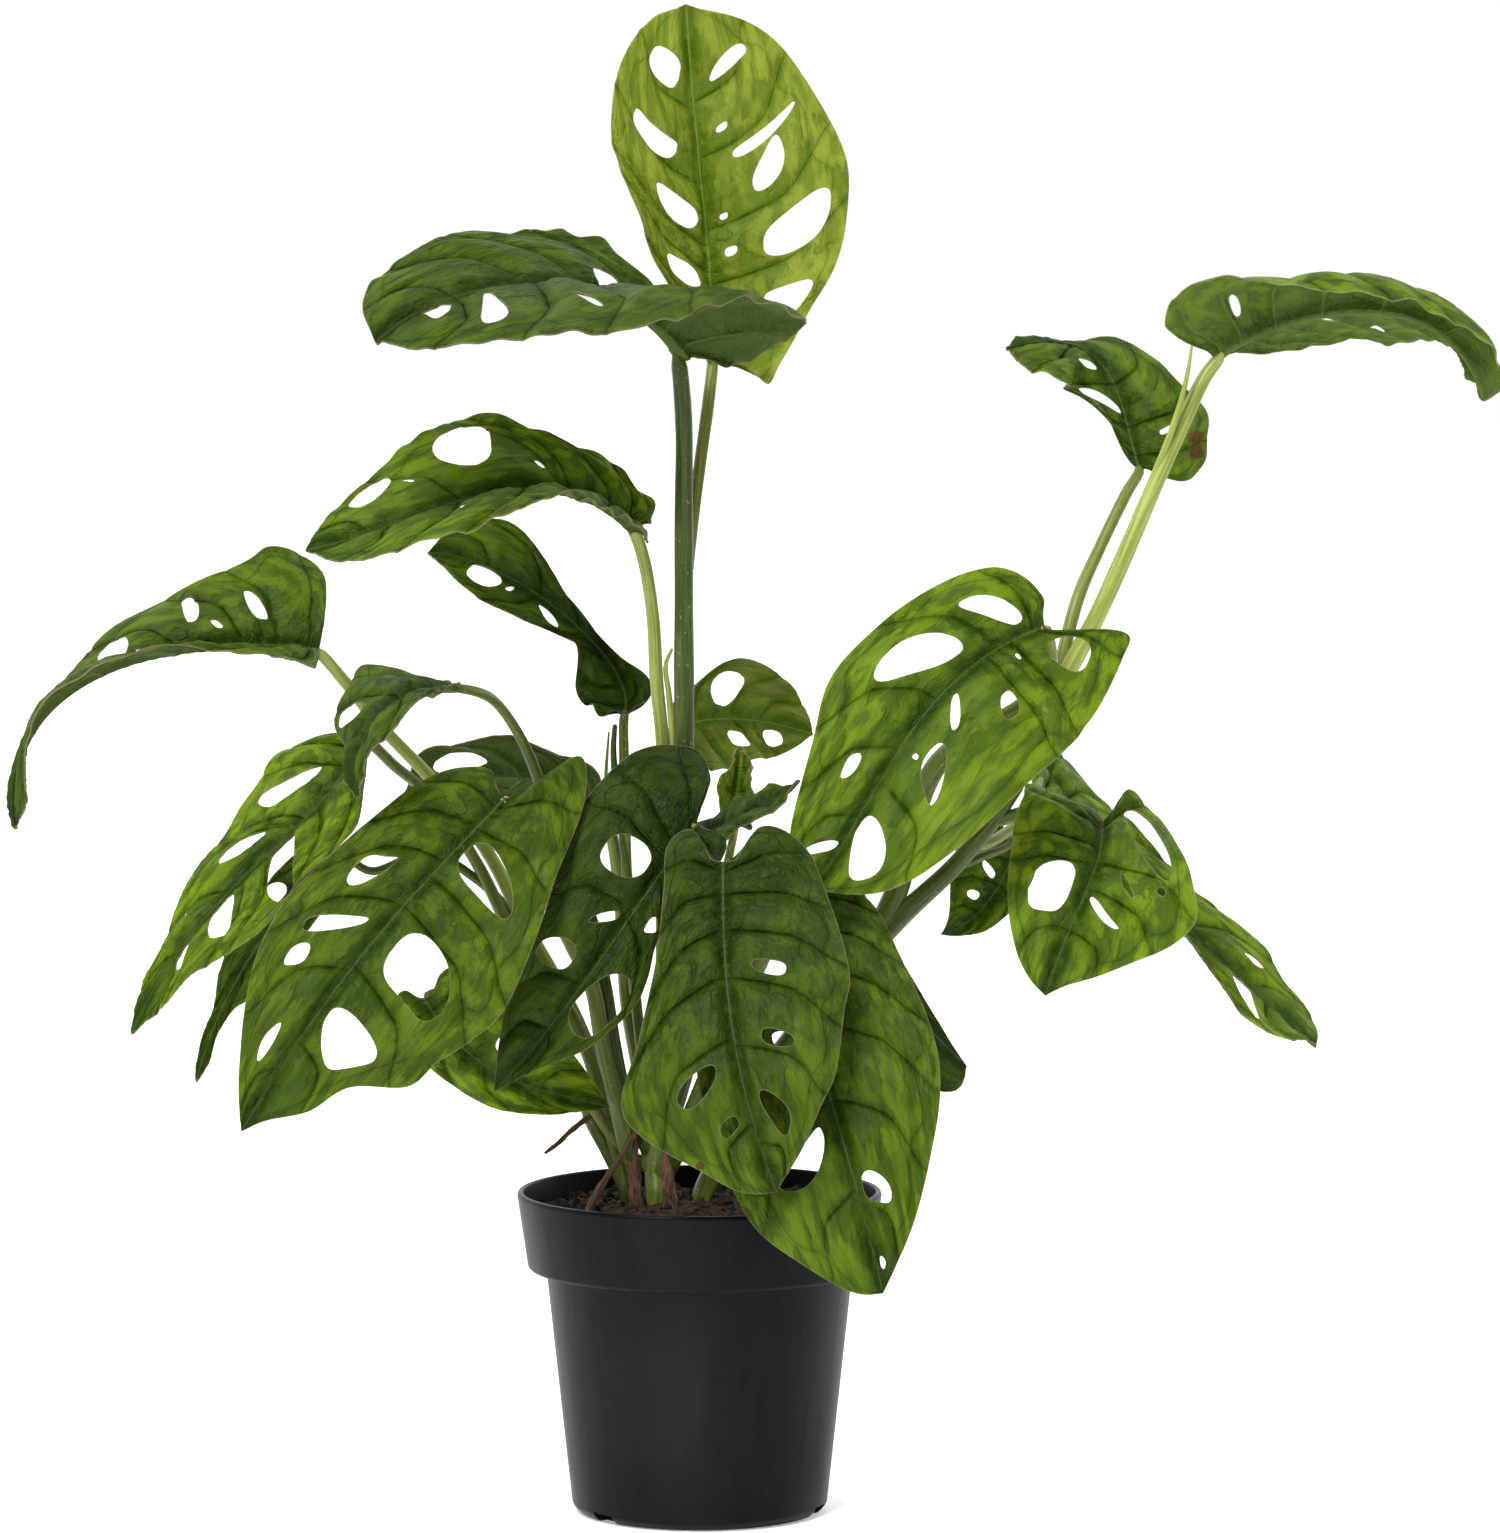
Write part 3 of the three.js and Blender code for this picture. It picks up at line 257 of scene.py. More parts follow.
    top, skin, glow = blade, under, shade
    for share, over in ((light, cloud), (dusk, dark), (tone_shade, dark), (deep, dark), (midrib, rib)):
        top = node("Mix", {0: share, 6: top, 7: over}, "RGBA", 2)
    for share, over in ((pale, rib), (read["upper"], top), (margin, rim), (brown, "#5f4420")):
        skin = node("Mix", {0: share, 6: skin, 7: over}, "RGBA", 2)
    for share, over in ((clear, through), (tone_shade, dark), (deep, dark), (midrib, rib), (brown, "#4a3216")):
        glow = node("Mix", {0: share, 6: glow, 7: over}, "RGBA", 2)

    ridges = node("Math", (crinkle, 3.2, grain), "MULTIPLY_ADD")
    heights = node("Math", (marks, -1.4, ridges), "MULTIPLY_ADD")
    bump = node("Bump", {"Strength": 0.8, "Distance": 0.4 * MM, "Height": heights})
    gloss = node("MapRange", (grain, 0.3, 0.7, 0.34, 0.5))
    surface = node("BsdfPrincipled", {"Base Color": skin, "Roughness": gloss, "IOR": 1.42,
                                      "Specular IOR Level": 0.26, "Normal": bump})
    inner = node("BsdfTranslucent", {"Color": glow, "Normal": bump})
    node("OutputMaterial", {"Surface": node("MixShader", (0.5, surface, inner))})
    return material


def petiole_finish():
    """Living petiole and stem skin. Smooth, slightly waxy and ribbed lengthwise, so it shows fine pale
    streaks along its length and a soft highlight."""
    material, node, read = start_finish("petiole_skin", ("round_x", "round_y", "along", "tone"))
    stretched = node("Math", (read["along"], 0.02), "MULTIPLY")
    place = node("CombineXYZ", (read["round_x"], read["round_y"], stretched))
    streaks = node("TexNoise", {"Vector": place, "Scale": 2.2, "Detail": 2, "Roughness": 0.55})
    spots = node("TexNoise", {"Vector": node("TexCoord", out="Object"), "Scale": 700, "Detail": 2})
    pale = node("MapRange", (streaks, 0.4, 0.66, 0, 1), "SMOOTHSTEP")
    dark = node("Mix", {0: pale, 6: "#2b3b09", 7: "#43551a"}, "RGBA", 2)
    light = node("Mix", {0: pale, 6: "#8a963f", 7: "#abb25e"}, "RGBA", 2)
    skin = node("Mix", {0: read["tone"], 6: dark, 7: light}, "RGBA", 2)
    freckle = node("MapRange", (spots, 0.64, 0.74, 0, 0.25))
    skin = node("Mix", {0: freckle, 6: skin, 7: "#b4bb80"}, "RGBA", 2)
    return end_finish(material, node, skin, streaks, 0.5, 0.3,
                      {"Roughness": 0.36, "IOR": 1.45, "Specular IOR Level": 0.3})


def dry_finish():
    """Withered sheath and stalk. Papery dead tissue: matt, brown, split into lengthwise fibres."""
    material, node, read = start_finish("withered_sheath", ("round_x", "round_y", "along"))
    stretched = node("Math", (read["along"], 0.06), "MULTIPLY")
    place = node("CombineXYZ", (read["round_x"], read["round_y"], stretched))
    fibres = node("TexNoise", {"Vector": place, "Scale": 4, "Detail": 4, "Roughness": 0.7})
    tint = node("MapRange", (fibres, 0.35, 0.65, 0, 1))
    skin = node("Mix", {0: tint, 6: "#20140b", 7: "#6f5138"}, "RGBA", 2)
    return end_finish(material, node, skin, fibres, 0.9, 0.6, {"Roughness": 0.85, "IOR": 1.45})


def soil_finish():
    """Damp peat potting mix. Crumbly and matt, dark brown with paler fibres and drier crumbs."""
    material, node, _ = start_finish("damp_peat_mix")
    place = node("TexCoord", out="Object")
    lumps = node("TexNoise", {"Vector": place, "Scale": 260, "Detail": 5, "Roughness": 0.7})
    dust = node("TexNoise", {"Vector": place, "Scale": 1500, "Detail": 3, "Roughness": 0.7})
    tint = node("MapRange", (lumps, 0.38, 0.66, 0, 1))
    skin = node("Mix", {0: tint, 6: "#150e09", 7: "#3b2a1c"}, "RGBA", 2)
    fleck = node("MapRange", (dust, 0.6, 0.72, 0, 0.6))
    skin = node("Mix", {0: fleck, 6: skin, 7: "#5f4a35"}, "RGBA", 2)
    return end_finish(material, node, skin, dust, 1, 0.8, {"Roughness": 0.95, "IOR": 1.4})


def pot_finish():
    """Black polypropylene, injection moulded. Satin black, with faint upright flow streaks and patches that
    shine a little more or less."""
    material, node, _ = start_finish("moulded_black_polypropylene")
    place = node("TexCoord", out="Object")
    drawn = node("Mapping", {"Vector": place, "Scale": (420, 420, 9)})
    wide = node("Mapping", {"Vector": place, "Scale": (90, 90, 3)})
    streaks = node("TexNoise", {"Vector": drawn, "Scale": 1, "Detail": 4, "Roughness": 0.6})
    clouds = node("TexNoise", {"Vector": wide, "Scale": 1, "Detail": 2})
    tint = node("MapRange", (streaks, 0.3, 0.7, 0, 1))
    skin = node("Mix", {0: tint, 6: "#040405", 7: "#0d0d0f"}, "RGBA", 2)
    gloss = node("MapRange", (clouds, 0.3, 0.7, 0.36, 0.44))
    return end_finish(material, node, skin, streaks, 0.5, 0.12,
                      {"Roughness": gloss, "IOR": 1.49, "Specular IOR Level": 0.085})


# ---------------------------------------------------------------- shapes shared by the pieces
def through_points(points, per_span, centripetal=True):
    """Catmull-Rom curve: each span is the cubic that leaves and arrives along its neighbours' chords.
    Centripetal spans are timed by the square root of their length, and the ends are carried on straight."""
    p = np.vstack([2 * points[0] - points[1], points, 2 * points[-1] - points[-2]])
    p0, p1, p2, p3 = p[:-3], p[1:-2], p[2:-1], p[3:]
    d0 = d1 = d2 = 1.0
    if centripetal:
        chords = (p1 - p0, p2 - p1, p3 - p2)
        d0, d1, d2 = (np.sqrt(np.linalg.norm(chord, axis=1))[:, None] for chord in chords)
    leave = ((p1 - p0) / d0 - (p2 - p0) / (d0 + d1) + (p2 - p1) / d1) * d1
    arrive = ((p2 - p1) / d1 - (p3 - p1) / (d1 + d2) + (p3 - p2) / d2) * d1
    u = (np.arange(per_span) / per_span)[None, :, None]
    rows = (p1[:, None] * (2 * u**3 - 3 * u**2 + 1) + leave[:, None] * (u**3 - 2 * u**2 + u)
            + p2[:, None] * (3 * u**2 - 2 * u**3) + arrive[:, None] * (u**3 - u**2))
    return np.vstack([rows.reshape(-1, points.shape[1]), points[-1:]])


def arc_of(line):
    """Length along a line of points, from 0."""
    return np.concatenate([[0], np.cumsum(np.linalg.norm(np.diff(line, axis=0), axis=1))])


def wander(x, y, wavelength, seed):
    """Soft unevenness between about -1 and 1: six sine waves in seeded directions, near one wavelength."""
    rng = np.random.default_rng(seed)
    angle = rng.uniform(0, math.pi, 6)
    number = TURN / (wavelength * rng.uniform(0.7, 1.4, 6))
    start = rng.uniform(0, TURN, 6)
    waves = np.sin((x[..., None] * np.cos(angle) + y[..., None] * np.sin(angle)) * number + start)
    return waves.sum(-1) / 3


def bell(x, width):
    """Bell curve of height 1: e to the power of minus the square of x over the width."""
    return np.exp(-(x / width)**2)


def closed(line):
    """A line of points that ends at its first point."""
    return np.vstack([line, line[:1]])


def inside(points, loop):
    """Even-odd rule: a point is inside where a ray towards +x crosses the loop an odd number of times."""
    x, y = points[:, :1], points[:, 1:]
    x0, y0 = loop.T
    x1, y1 = np.roll(loop, -1, axis=0).T
    crossed = (y0 > y) != (y1 > y)
    at = x0 + (y - y0) * (x1 - x0) / np.where(y1 == y0, 1, y1 - y0)
    return (crossed & (x < at)).sum(1) % 2 == 1


def distance_to(points, line):
    """Distance from each point to a line of straight pieces: the least over the pieces."""
    start = line[:-1]
    step = np.diff(line, axis=0)
    share = ((points[:, None] - start) * step).sum(-1) / np.maximum((step**2).sum(-1), 1e-12)
    foot = start + np.clip(share, 0, 1)[..., None] * step
    return np.linalg.norm(points[:, None] - foot, axis=-1).min(1)


def strips(rows, sides, ends=True):
    """Quads between rows of points that each go round once; without ends the last row joins the first."""
    i, k = np.meshgrid(np.arange(rows - ends), np.arange(sides), indexing="ij")
    here, above, after = i * sides, (i + 1) % rows * sides, (k + 1) % sides
    return np.stack([here + k, here + after, above + after, above + k], -1).reshape(-1, 4)


def welded(points, digits):
    """The first point at each place, and each point's number among those, to so many digits."""
    keys = np.round(points, digits) + 0.0
    _, first, joined = np.unique(keys, axis=0, return_index=True, return_inverse=True)
    return first, joined.ravel()


def open_triangles(triangles):
    """The triangles with three corners of their own."""
    a, b, c = triangles.T
    return triangles[(a != b) & (b != c) & (c != a)]


# ---------------------------------------------------------------- leaves
LEAF_STEP = 1.25                # spacing of a leaf's mesh
RIB_ROWS = (0, 0.6, 1.3, 2.2, 3.3)  # rows of its mesh by the midrib, mm out
MARGIN_ROW = 0.8                # last row before the margin, mm in
SKIN = 0.5                      # thickness of the blade itself
KEEL = 1.8                      # extra depth of the midrib at the leaf base
SMALL_LEAF = 90                 # a leaf shorter than this has fewer side veins
VEIN_COUNTS = (5, 7)            # gaps between side veins on a small and on a large leaf
VEIN_ROOM = 0.012               # between a vein and a hole, in mu
VEIN_SPACE = 0.035              # between two veins, in mu
FLAT = ((0, 0, 0), (0, 0, 0))
# Relief of the upper face: heights and sizes in mm.
QUILT = (0.16, 2.1)             # bulge between side veins: for each mm between them, and at most
GROOVE = (0.5, 1.0)             # along a side vein: depth, half width
VALLEY = (0.9, 2.6)             # along the midrib: depth, half width
RIDGE = (0.25, 0.5)             # in that valley: height, half width
WRINKLES = (0.3, 4.3, 11)       # beside the midrib: height, spacing, reach
SWELLS = (0.6, 26)              # unevenness of the blade: height, wavelength
PUCKERS = (0.45, 6)             # unevenness drawn out along the veins: height, wavelength
WAVES = (1.2, 3)                # in the margin: height, number along it
FLUTES = (0.25, 23)             # in the margin: height, spacing
RUFFLES = 12                    # wavelength of the ruffle that a leaf sets itself
EDGE_STEP = 4                   # every so many points of a margin's line measure the distance to it


def oval(width):
    """Margin stations of a plain oval half."""
    shares = (-1, -8, -3, 20, 45, 70, 90)
    parts = (0.12, 0.4, 0.8, 1, 0.95, 0.68, 0.25)
    return tuple((share, part * width) for share, part in zip(shares, parts))


# spine: four points of the midrib. face: where the upper side looks, all along or at the base and the tip.
# left, right: margin stations (% of length, width) of the halves, seen from above with the tip ahead.
# fold: angle of each half up from flat, and curl: its turn from midrib to margin, in degrees, each at the
# base, the middle and the tip.
# holes: mu, t, half length in t, half width in mu, then lean, egg and bend, all in thousandths.
# ruffle: height of an uneven wave in the margin, at the base and the tip.
# dry: withered spots (half, share of length, mm from the midrib, radius).
# tone: 0 dark to 1 bright, all along or at the base and the tip. It is painted shade and light: lower on
# leaves and parts of leaves that lie in shade.
# young: a leaf that has just unrolled, with a finish of its own.
LEAVES = {
    "leaf_01_top": dict(
        spine=((5, 15, 378), (3, 20, 414), (-1, 20, 455), (-4, 14, 494)),
        face=((0.3, -1, 0.1), (0.2, -1, 0.25)),
        left=((0, 3), (20, 17), (45, 28), (70, 31), (87, 25), (97, 12)),
        right=((-2, 3), (-2, 7), (-4.5, 14), (-6.5, 18), (0, 22), (13, 32), (24, 41), (36, 46), (52, 48),
            (69, 41), (86, 30), (95, 17)),
        fold=((30, 20, 8), (20, 12, 5)),
        left_holes=((867, 520, 240, 33), (715, 530, 240, 26, 0, 200, 300), (580, 370, 230, 35),
            (383, 460, 240, 42, -100)),
        right_holes=((862, 510, 270, 15, 0, 250, -300), (769, 230, 60, 7),
            (705, 550, 290, 11, 0, -250, 200), (643, 500, 140, 33, 120, 180), (592, 120, 30, 7),
            (489, 610, 240, 52), (503, 140, 40, 13), (315, 620, 220, 40, -120, 400)),
        tone=0.9, young=True),
    "leaf_02_upper_left": dict(
        spine=((-5, -5, 380), (-32, -35, 402), (-69, -70, 404), (-101, -95, 388)),
        face=((0, -0.1, 1), (-0.2, -0.4, 1)),
        left=((-3, 4), (-11, 18), (-5, 38), (4, 53), (16, 48), (30, 44.5), (45, 42), (60, 37), (75, 31),
            (88, 22), (96, 12)),
        right=((2, 4), (3, 20), (18, 32), (40, 32), (60, 30), (80, 26), (93, 16)),
        fold=((72, -2, -12), (46, 30, 14)), curl=((-90, -30, -10), (0, -10, -10)),
        left_holes=((899, 260, 200, 20, 0, -450), (814, 490, 270, 20, 0, 400),
            (648, 560, 110, 10, -190, 400)),
        right_holes=((464, 230, 170, 40, -270, 200),), ruffle=(2, 0.1), tone=0.35),
    "leaf_03_upper_right": dict(
        spine=((170, 20, 380), (193, 10, 392), (230, 0, 394), (256, -10, 366)),
        face=((0.1, 0.55, 0.8), (0.45, 0.35, 0.8)),
        left=((2, 3), (5, 9), (19, 19), (35, 25), (50, 28), (66, 22), (80, 10), (92, 5)),
        right=((-1, 3), (-1, 10), (0, 20), (7, 30), (17, 34), (35, 33), (60, 31), (80, 23), (93, 13)),
        fold=((12, 8, 5), (12, 34, 40)), curl=((0, 0, 0), (0, -115, -125)),
        left_holes=((515, 290, 120, 27, 60, 200), (595, 660, 70, 12)),
        right_holes=((310, 350, 150, 14, 0, -300, -150),), ruffle=(0.2, 1.7), tone=0.75),
    "leaf_04_arched": dict(
        spine=((145, 35, 342), (139, 45, 365), (128, 50, 381), (101, 40, 382)),
        face=((-0.3, -0.8, 0.5), (0, 0.15, 1)),
        left=((3, 2), (12, 4), (25, 5.5), (36, 8), (47, 13), (60, 19), (78, 24), (90, 21), (97, 12)),
        right=((-4, 4), (-12, 12), (-6, 22), (11, 27), (22, 25), (38, 18), (52, 14), (68, 9), (85, 6)),
        fold=((0, -25, -45), (0, 0, 0)),
        left_holes=((695, 250, 140, 20, 170), (520, 280, 220, 35, 130, 200, -300)),
        right_holes=((320, 430, 70, 18, 120, 0, 300),), ruffle=(1.8, 0.8),
        dry=((1, 0.04, 21.5, 2.8), (1, -0.02, 20, 2.4)), tone=0.55),
    "leaf_05_big_right": dict(
        spine=((112, -30, 294), (79, -42, 274), (57, -52, 244), (36, -55, 211)), face=(0, -0.95, 0.3),
        left=((-2, 2), (-20, 10), (-17, 18), (0, 35.5), (20, 41), (43, 40), (60, 37), (75, 31), (90, 19)),
        right=((0, 4), (-2, 10), (3, 21), (12, 26), (35, 30), (50, 31), (65, 25), (88, 17), (96, 10)),
        fold=((0, 4, 5), (8, 6, 5)),
        left_holes=((180, 510, 210, 52), (310, 150, 30, 10), (448, 410, 100, 31, 140, 250),
            (571, 170, 100, 17, 330, 200), (706, 150, 25, 6), (705, 380, 160, 35, 230, -450),
            (884, 410, 360, 36, 60, 150)),
        right_holes=((248, 390, 260, 50, 140), (475, 410, 250, 72, 60, 290), (751, 470, 90, 25),
            (917, 430, 360, 10)),
        dry=((1, 0.88, 5.5, 2.4),), tone=0.75),
    "leaf_06_hanging_right": dict(
        spine=((131, -8, 229), (129, -24, 217), (121, -36, 199), (112, -40, 175)),
        face=((0, -0.35, 1), (0, -1, 0.1)),
        left=((-3, 3), (-20, 12), (-5, 18), (14, 24), (30, 32), (43, 37), (56, 33), (68, 25), (83, 14),
            (93, 5)),
        right=((-3, 3), (-16, 13), (-13, 25), (10, 29), (42, 27), (65, 22), (84, 14), (94, 7)),
        fold=((0, 0, 0), (22, 2, 0)),
        left_holes=((700, 300, 230, 14, 100, -300, -550), (575, 330, 100, 14, 350, -450, -350),
            (543, 620, 40, 14), (320, 590, 200, 170, 0, 100)),
        right_holes=((660, 450, 260, 105, 70, -300, 150),), tone=0.75),
    "leaf_07_low_right": dict(
        spine=((116, 60, 241), (141, 66, 209), (175, 62, 176), (206, 42, 149)), face=(0.35, -0.45, 0.8),
        left=((-1, 3), (-8, 8), (-3, 15), (20, 19), (45, 20), (65, 22), (78, 15), (92, 10)),
        right=((-1, 3), (-6, 10), (0, 16), (20, 17), (40, 12), (58, 7), (70, 10), (84, 15), (94, 14)),
        left_holes=((800, 550, 130, 14), (620, 400, 50, 8)), right_holes=((840, 500, 340, 26, 50, -300),),
        tone=0.8),
    "leaf_08_front_low": dict(
        spine=((30, -35, 210), (35, -62, 173), (46, -80, 134), (59, -85, 85)), face=(0, -1, 0.15),
        left=((0, 3), (-3, 12), (6, 26), (20, 32), (45, 37), (60, 34), (75, 24), (88, 13)),
        right=((0, 3), (-5, 14), (5, 28), (25, 36), (50, 40), (68, 38), (80, 33), (92, 19), (98, 9)),
        left_holes=((845, 370, 230, 23, 0, -150), (955, 410, 140, 9)),
        right_holes=((760, 400, 270, 24, 0, 100, -450), (370, 260, 170, 58, -100),
            (565, 230, 80, 15, -150)),
        tone=(0.35, 0.6)),
    "leaf_09_front_middle": dict(
        spine=((8, -60, 221), (9, -80, 187), (14, -92, 155), (25, -95, 119)), face=(0, -1, 0.2),
        left=((0, 4), (-10, 12), (-6, 25), (7, 32), (36, 39), (51, 36), (70, 30), (80, 22), (91, 12)),
        right=((0, 4), (-10, 10), (-5, 18), (10, 19), (30, 22), (51, 30), (66, 39), (75, 35), (87, 21),
            (96, 11)),
        left_holes=((530, 340, 130, 19), (700, 410, 150, 18), (850, 420, 230, 30, 100, 300)),
        right_holes=((755, 430, 220, 22, 0, 170), (854, 370, 150, 14)), dry=((1, 0.86, 20, 1.4),),
        tone=(0.1, 0.6)),
    "leaf_10_middle_left": dict(
        spine=((0, -28, 230), (-15, -40, 211), (-38, -48, 179), (-66, -50, 145)), face=(0, -1, 0.1),
        left=((0, 3), (-2, 10), (10, 14), (26, 11), (38, 12), (47, 16), (56, 18), (66, 16), (74, 13.5),
            (82, 8.5), (90, 4)),
        right=((-3, 2), (-16, 8), (-20, 18), (-8, 28), (8, 33), (25, 32), (50, 23), (72, 18), (87, 10)),
        left_holes=((490, 500, 170, 22, -200, -400), (720, 510, 390, 80, -100, 330)),
        right_holes=((438, 360, 240, 54, 60, -200), (709, 610, 280, 31, 0, -260),
            (598, 250, 150, 13, 150, -300)),
        tone=(0, 0.3)),
    "leaf_11_front_left": dict(
        spine=((-62, -45, 240), (-83, -62, 219), (-112, -78, 186), (-145, -85, 137)), face=(0, -1, 0.2),
        left=((-5, 3), (-20, 9), (-12, 20), (6, 29), (23, 39), (40, 46), (52, 44), (61, 40), (70, 37),
            (78, 22), (88, 15), (95, 5)),
        right=((0, 4), (-3, 11), (8, 22), (25, 26), (48, 30), (62, 28), (75, 21), (88, 11)),
        left_holes=((390, 380, 300, 56, 80, -400), (638, 420, 280, 56, 0, -160, 150),
            (800, 440, 320, 41, 0, 250)),
        right_holes=((493, 500, 140, 42, 0, 160, -300), (632, 450, 260, 17, 0, 160, -200),
            (693, 630, 100, 21), (854, 570, 120, 26, 120)),
        tone=0.5),
    "leaf_12_back_left": dict(
        spine=((-109, -22, 257), (-131, -38, 229), (-157, -48, 204), (-183, -50, 164)),
        face=(-0.5, -0.7, 0.5),
        left=((0, 2), (5, 6), (12, 11), (24, 19), (42, 20), (56, 22), (67, 19), (77, 13), (89, 7)),
        right=((0, 2), (-1, 8), (2, 18), (8, 27), (16, 28), (31, 25), (49, 19), (61, 14), (80, 7)),
        left_holes=((340, 100, 60, 45, 0, -300), (535, 500, 420, 46, -50, -200, -600),
            (720, 450, 290, 29, 0, 0, -150), (830, 400, 280, 26, 0, -300, -200)),
        right_holes=((370, 530, 270, 52, 180, -400, -350), (590, 480, 210, 44, 60, -200),
            (780, 770, 180, 33, 70, 250)),
        tone=0.85),
    "leaf_13_behind_left": dict(
        spine=((-121, 0, 220), (-136, 0, 200), (-153, 3, 174), (-166, 5, 141)), face=(-0.3, -0.9, 0.2),
        left=((-1, 2), (0, 8), (20, 11), (45, 11), (60, 9), (69, 4.5), (80, 2.5), (92, 2)),
        right=((-1, 2), (-5, 6), (20, 9), (45, 9), (58, 6.5), (72, 3.5), (90, 2)),
        right_holes=((400, 560, 360, 36, -120, -450),), tone=0.45),
    "leaf_14_small_bow": dict(
        spine=((-78, -45, 277), (-92, -62, 275), (-105, -70, 265), (-109, -72, 242)),
        face=((-0.2, -0.5, 0.9), (-0.9, -0.4, 0.2)),
        left=((0, 2), (6, 3), (22, 5), (40, 10), (54, 13), (68, 12), (84, 9)),
        right=((0, 2), (0, 8), (2, 15), (10, 25), (20, 30), (30, 30), (42, 27), (54, 24), (68, 19),
            (77, 10), (88, 5)),
        right_holes=((695, 620, 280, 47, 0, 200),), tone=0.4),
    "leaf_15_far_left": dict(
        spine=((-124, 5, 284), (-168, -15, 286), (-208, -30, 270), (-222, -30, 228)),
        face=((-0.1, -0.85, 0.5), (-1, 0, 0.25)),
        left=((3, 2), (4, 10), (6, 17), (14, 15), (28, 10), (42, 13), (55, 17), (75, 14), (92, 8)),
        right=((0, 4), (-2, 14), (-2, 28), (3, 35), (10, 36), (15, 31), (25, 26), (40, 21), (49, 18),
            (56, 12), (65, 7), (80, 6), (92, 4)),
        fold=((30, 38, -60), (0, 0, 10)),
        right_holes=((326, 470, 200, 23, 0, -400), (446, 270, 80, 10), (458, 620, 240, 16, -130),
            (648, 460, 340, 34, -120, 140), (625, 130, 80, 8)),
        dry=((1, 0.55, 13, 1.8),), tone=0.5),
    "leaf_16_ruffled_left": dict(
        spine=((-20, -10, 325), (-54, -25, 339), (-90, -38, 331), (-126, -45, 320)),
        face=((0, -0.7, 0.7), (-0.2, -0.8, 0.55)),
        left=((0, 3), (-3, 8), (10, 14), (30, 22), (50, 25), (70, 21), (88, 12)),
        right=((-2, 3), (-4, 9), (10, 16), (25, 20), (40, 32), (55, 29), (70, 22), (88, 13)),
        fold=((45, 33, 15), (5, 2, 0)), left_holes=((838, 180, 120, 10), (700, 300, 140, 12)),
        right_holes=((583, 630, 280, 60, -150, 400, -200), (810, 760, 140, 55, -150, 400),
            (740, 620, 70, 7), (490, 260, 50, 10)),
        ruffle=(2.4, 0.1), tone=0.7),
    "leaf_17_twisted_left": dict(
        spine=((-25, 22, 262), (-33, 30, 282), (-59, 30, 304), (-89, 20, 315)),
        face=((-0.2, -1, 0.2), (0.3, -0.8, 0.3)),
        left=((0, 3), (-4, 8), (8, 14), (20, 14), (33, 5), (42, 7), (56, 10), (72, 12), (86, 9)),
        right=((2, 3), (5, 8), (10, 9), (20, 4), (35, 3), (50, 6), (60, 8), (69, 15), (78, 17), (90, 11)),
        left_holes=((850, 380, 330, 45), (778, 300, 100, 7, 0, 400), (635, 370, 160, 30, -280)),
        tone=(0.2, 0.55)),
    "leaf_18_small_middle": dict(
        spine=((-9, 30, 256), (5, 45, 258), (21, 58, 256), (38, 65, 251)), face=(0, -0.9, 0.4),
        left=((5, 3), (10, 8), (30, 13), (50, 20), (65, 22), (80, 16), (93, 8)),
        right=((0, 3), (-8, 9), (2, 19), (25, 19), (50, 16), (75, 12), (90, 7)),
        left_holes=((570, 460, 290, 80),), right_holes=((600, 500, 200, 70), (820, 500, 240, 40)), tone=0.5,
        young=True),
    "leaf_19_small_inner": dict(
        spine=((0, -6, 224), (11, -13, 230), (22, -19, 236), (32, -21, 244)), face=(-0.3, -0.35, 0.9),
        left=oval(14), right=oval(14), tone=0.3),
    "leaf_20_unrolling": dict(
        spine=((12, 17, 226), (12, 15, 234), (13, 15, 242), (14, 17, 251)), face=(0, -1, 0), left=oval(9),
        right=oval(9), fold=((50, 50, 50), (50, 50, 50)), tone=0.4, young=True),
    "leaf_21_back_arch": dict(
        spine=((-33, 45, 230), (-52, 50, 238), (-78, 55, 238), (-100, 50, 229)), face=(0, 0.75, 0.65),
        left=((3, 2), (5, 7), (12, 11), (30, 15), (50, 17), (70, 16), (85, 14), (95, 8)),
        right=((3, 2), (5, 7), (15, 12), (35, 15), (60, 14), (80, 10), (93, 5)),
        left_holes=((770, 400, 240, 75),), tone=0.35),
    "leaf_22_low_left": dict(
        spine=((-89, -25, 172), (-71, -22, 151), (-50, -18, 141), (-29, -12, 135)), face=(0, -1, -0.1),
        left=oval(26), right=oval(12), left_holes=((600, 500, 250, 50),), tone=0.9),
    "leaf_23_low_middle": dict(
        spine=((50, -12, 202), (60, -10, 182), (73, -6, 163), (88, 0, 147)), face=(0, -1, 0), left=oval(6),
        right=((-1, 3), (0, 8), (20, 13), (50, 16), (80, 17), (95, 14), (103, 8)), tone=0.2),
    "leaf_24_low_behind": dict(
        spine=((105, 28, 220), (100, 30, 205), (91, 32, 193), (80, 32, 187)), face=(0, -1, 0), left=oval(9),
        right=oval(18), right_holes=((510, 300, 140, 37, -300), (710, 400, 150, 31)), tone=0.6),
}


def three_way(values, share):
    """Parabola through a value at the base, the middle and the tip."""
    base, middle, tip = values
    rest = 1 - share
    return base * rest * (1 - 2 * share) + 4 * middle * share * rest + tip * share * (2 * share - 1)


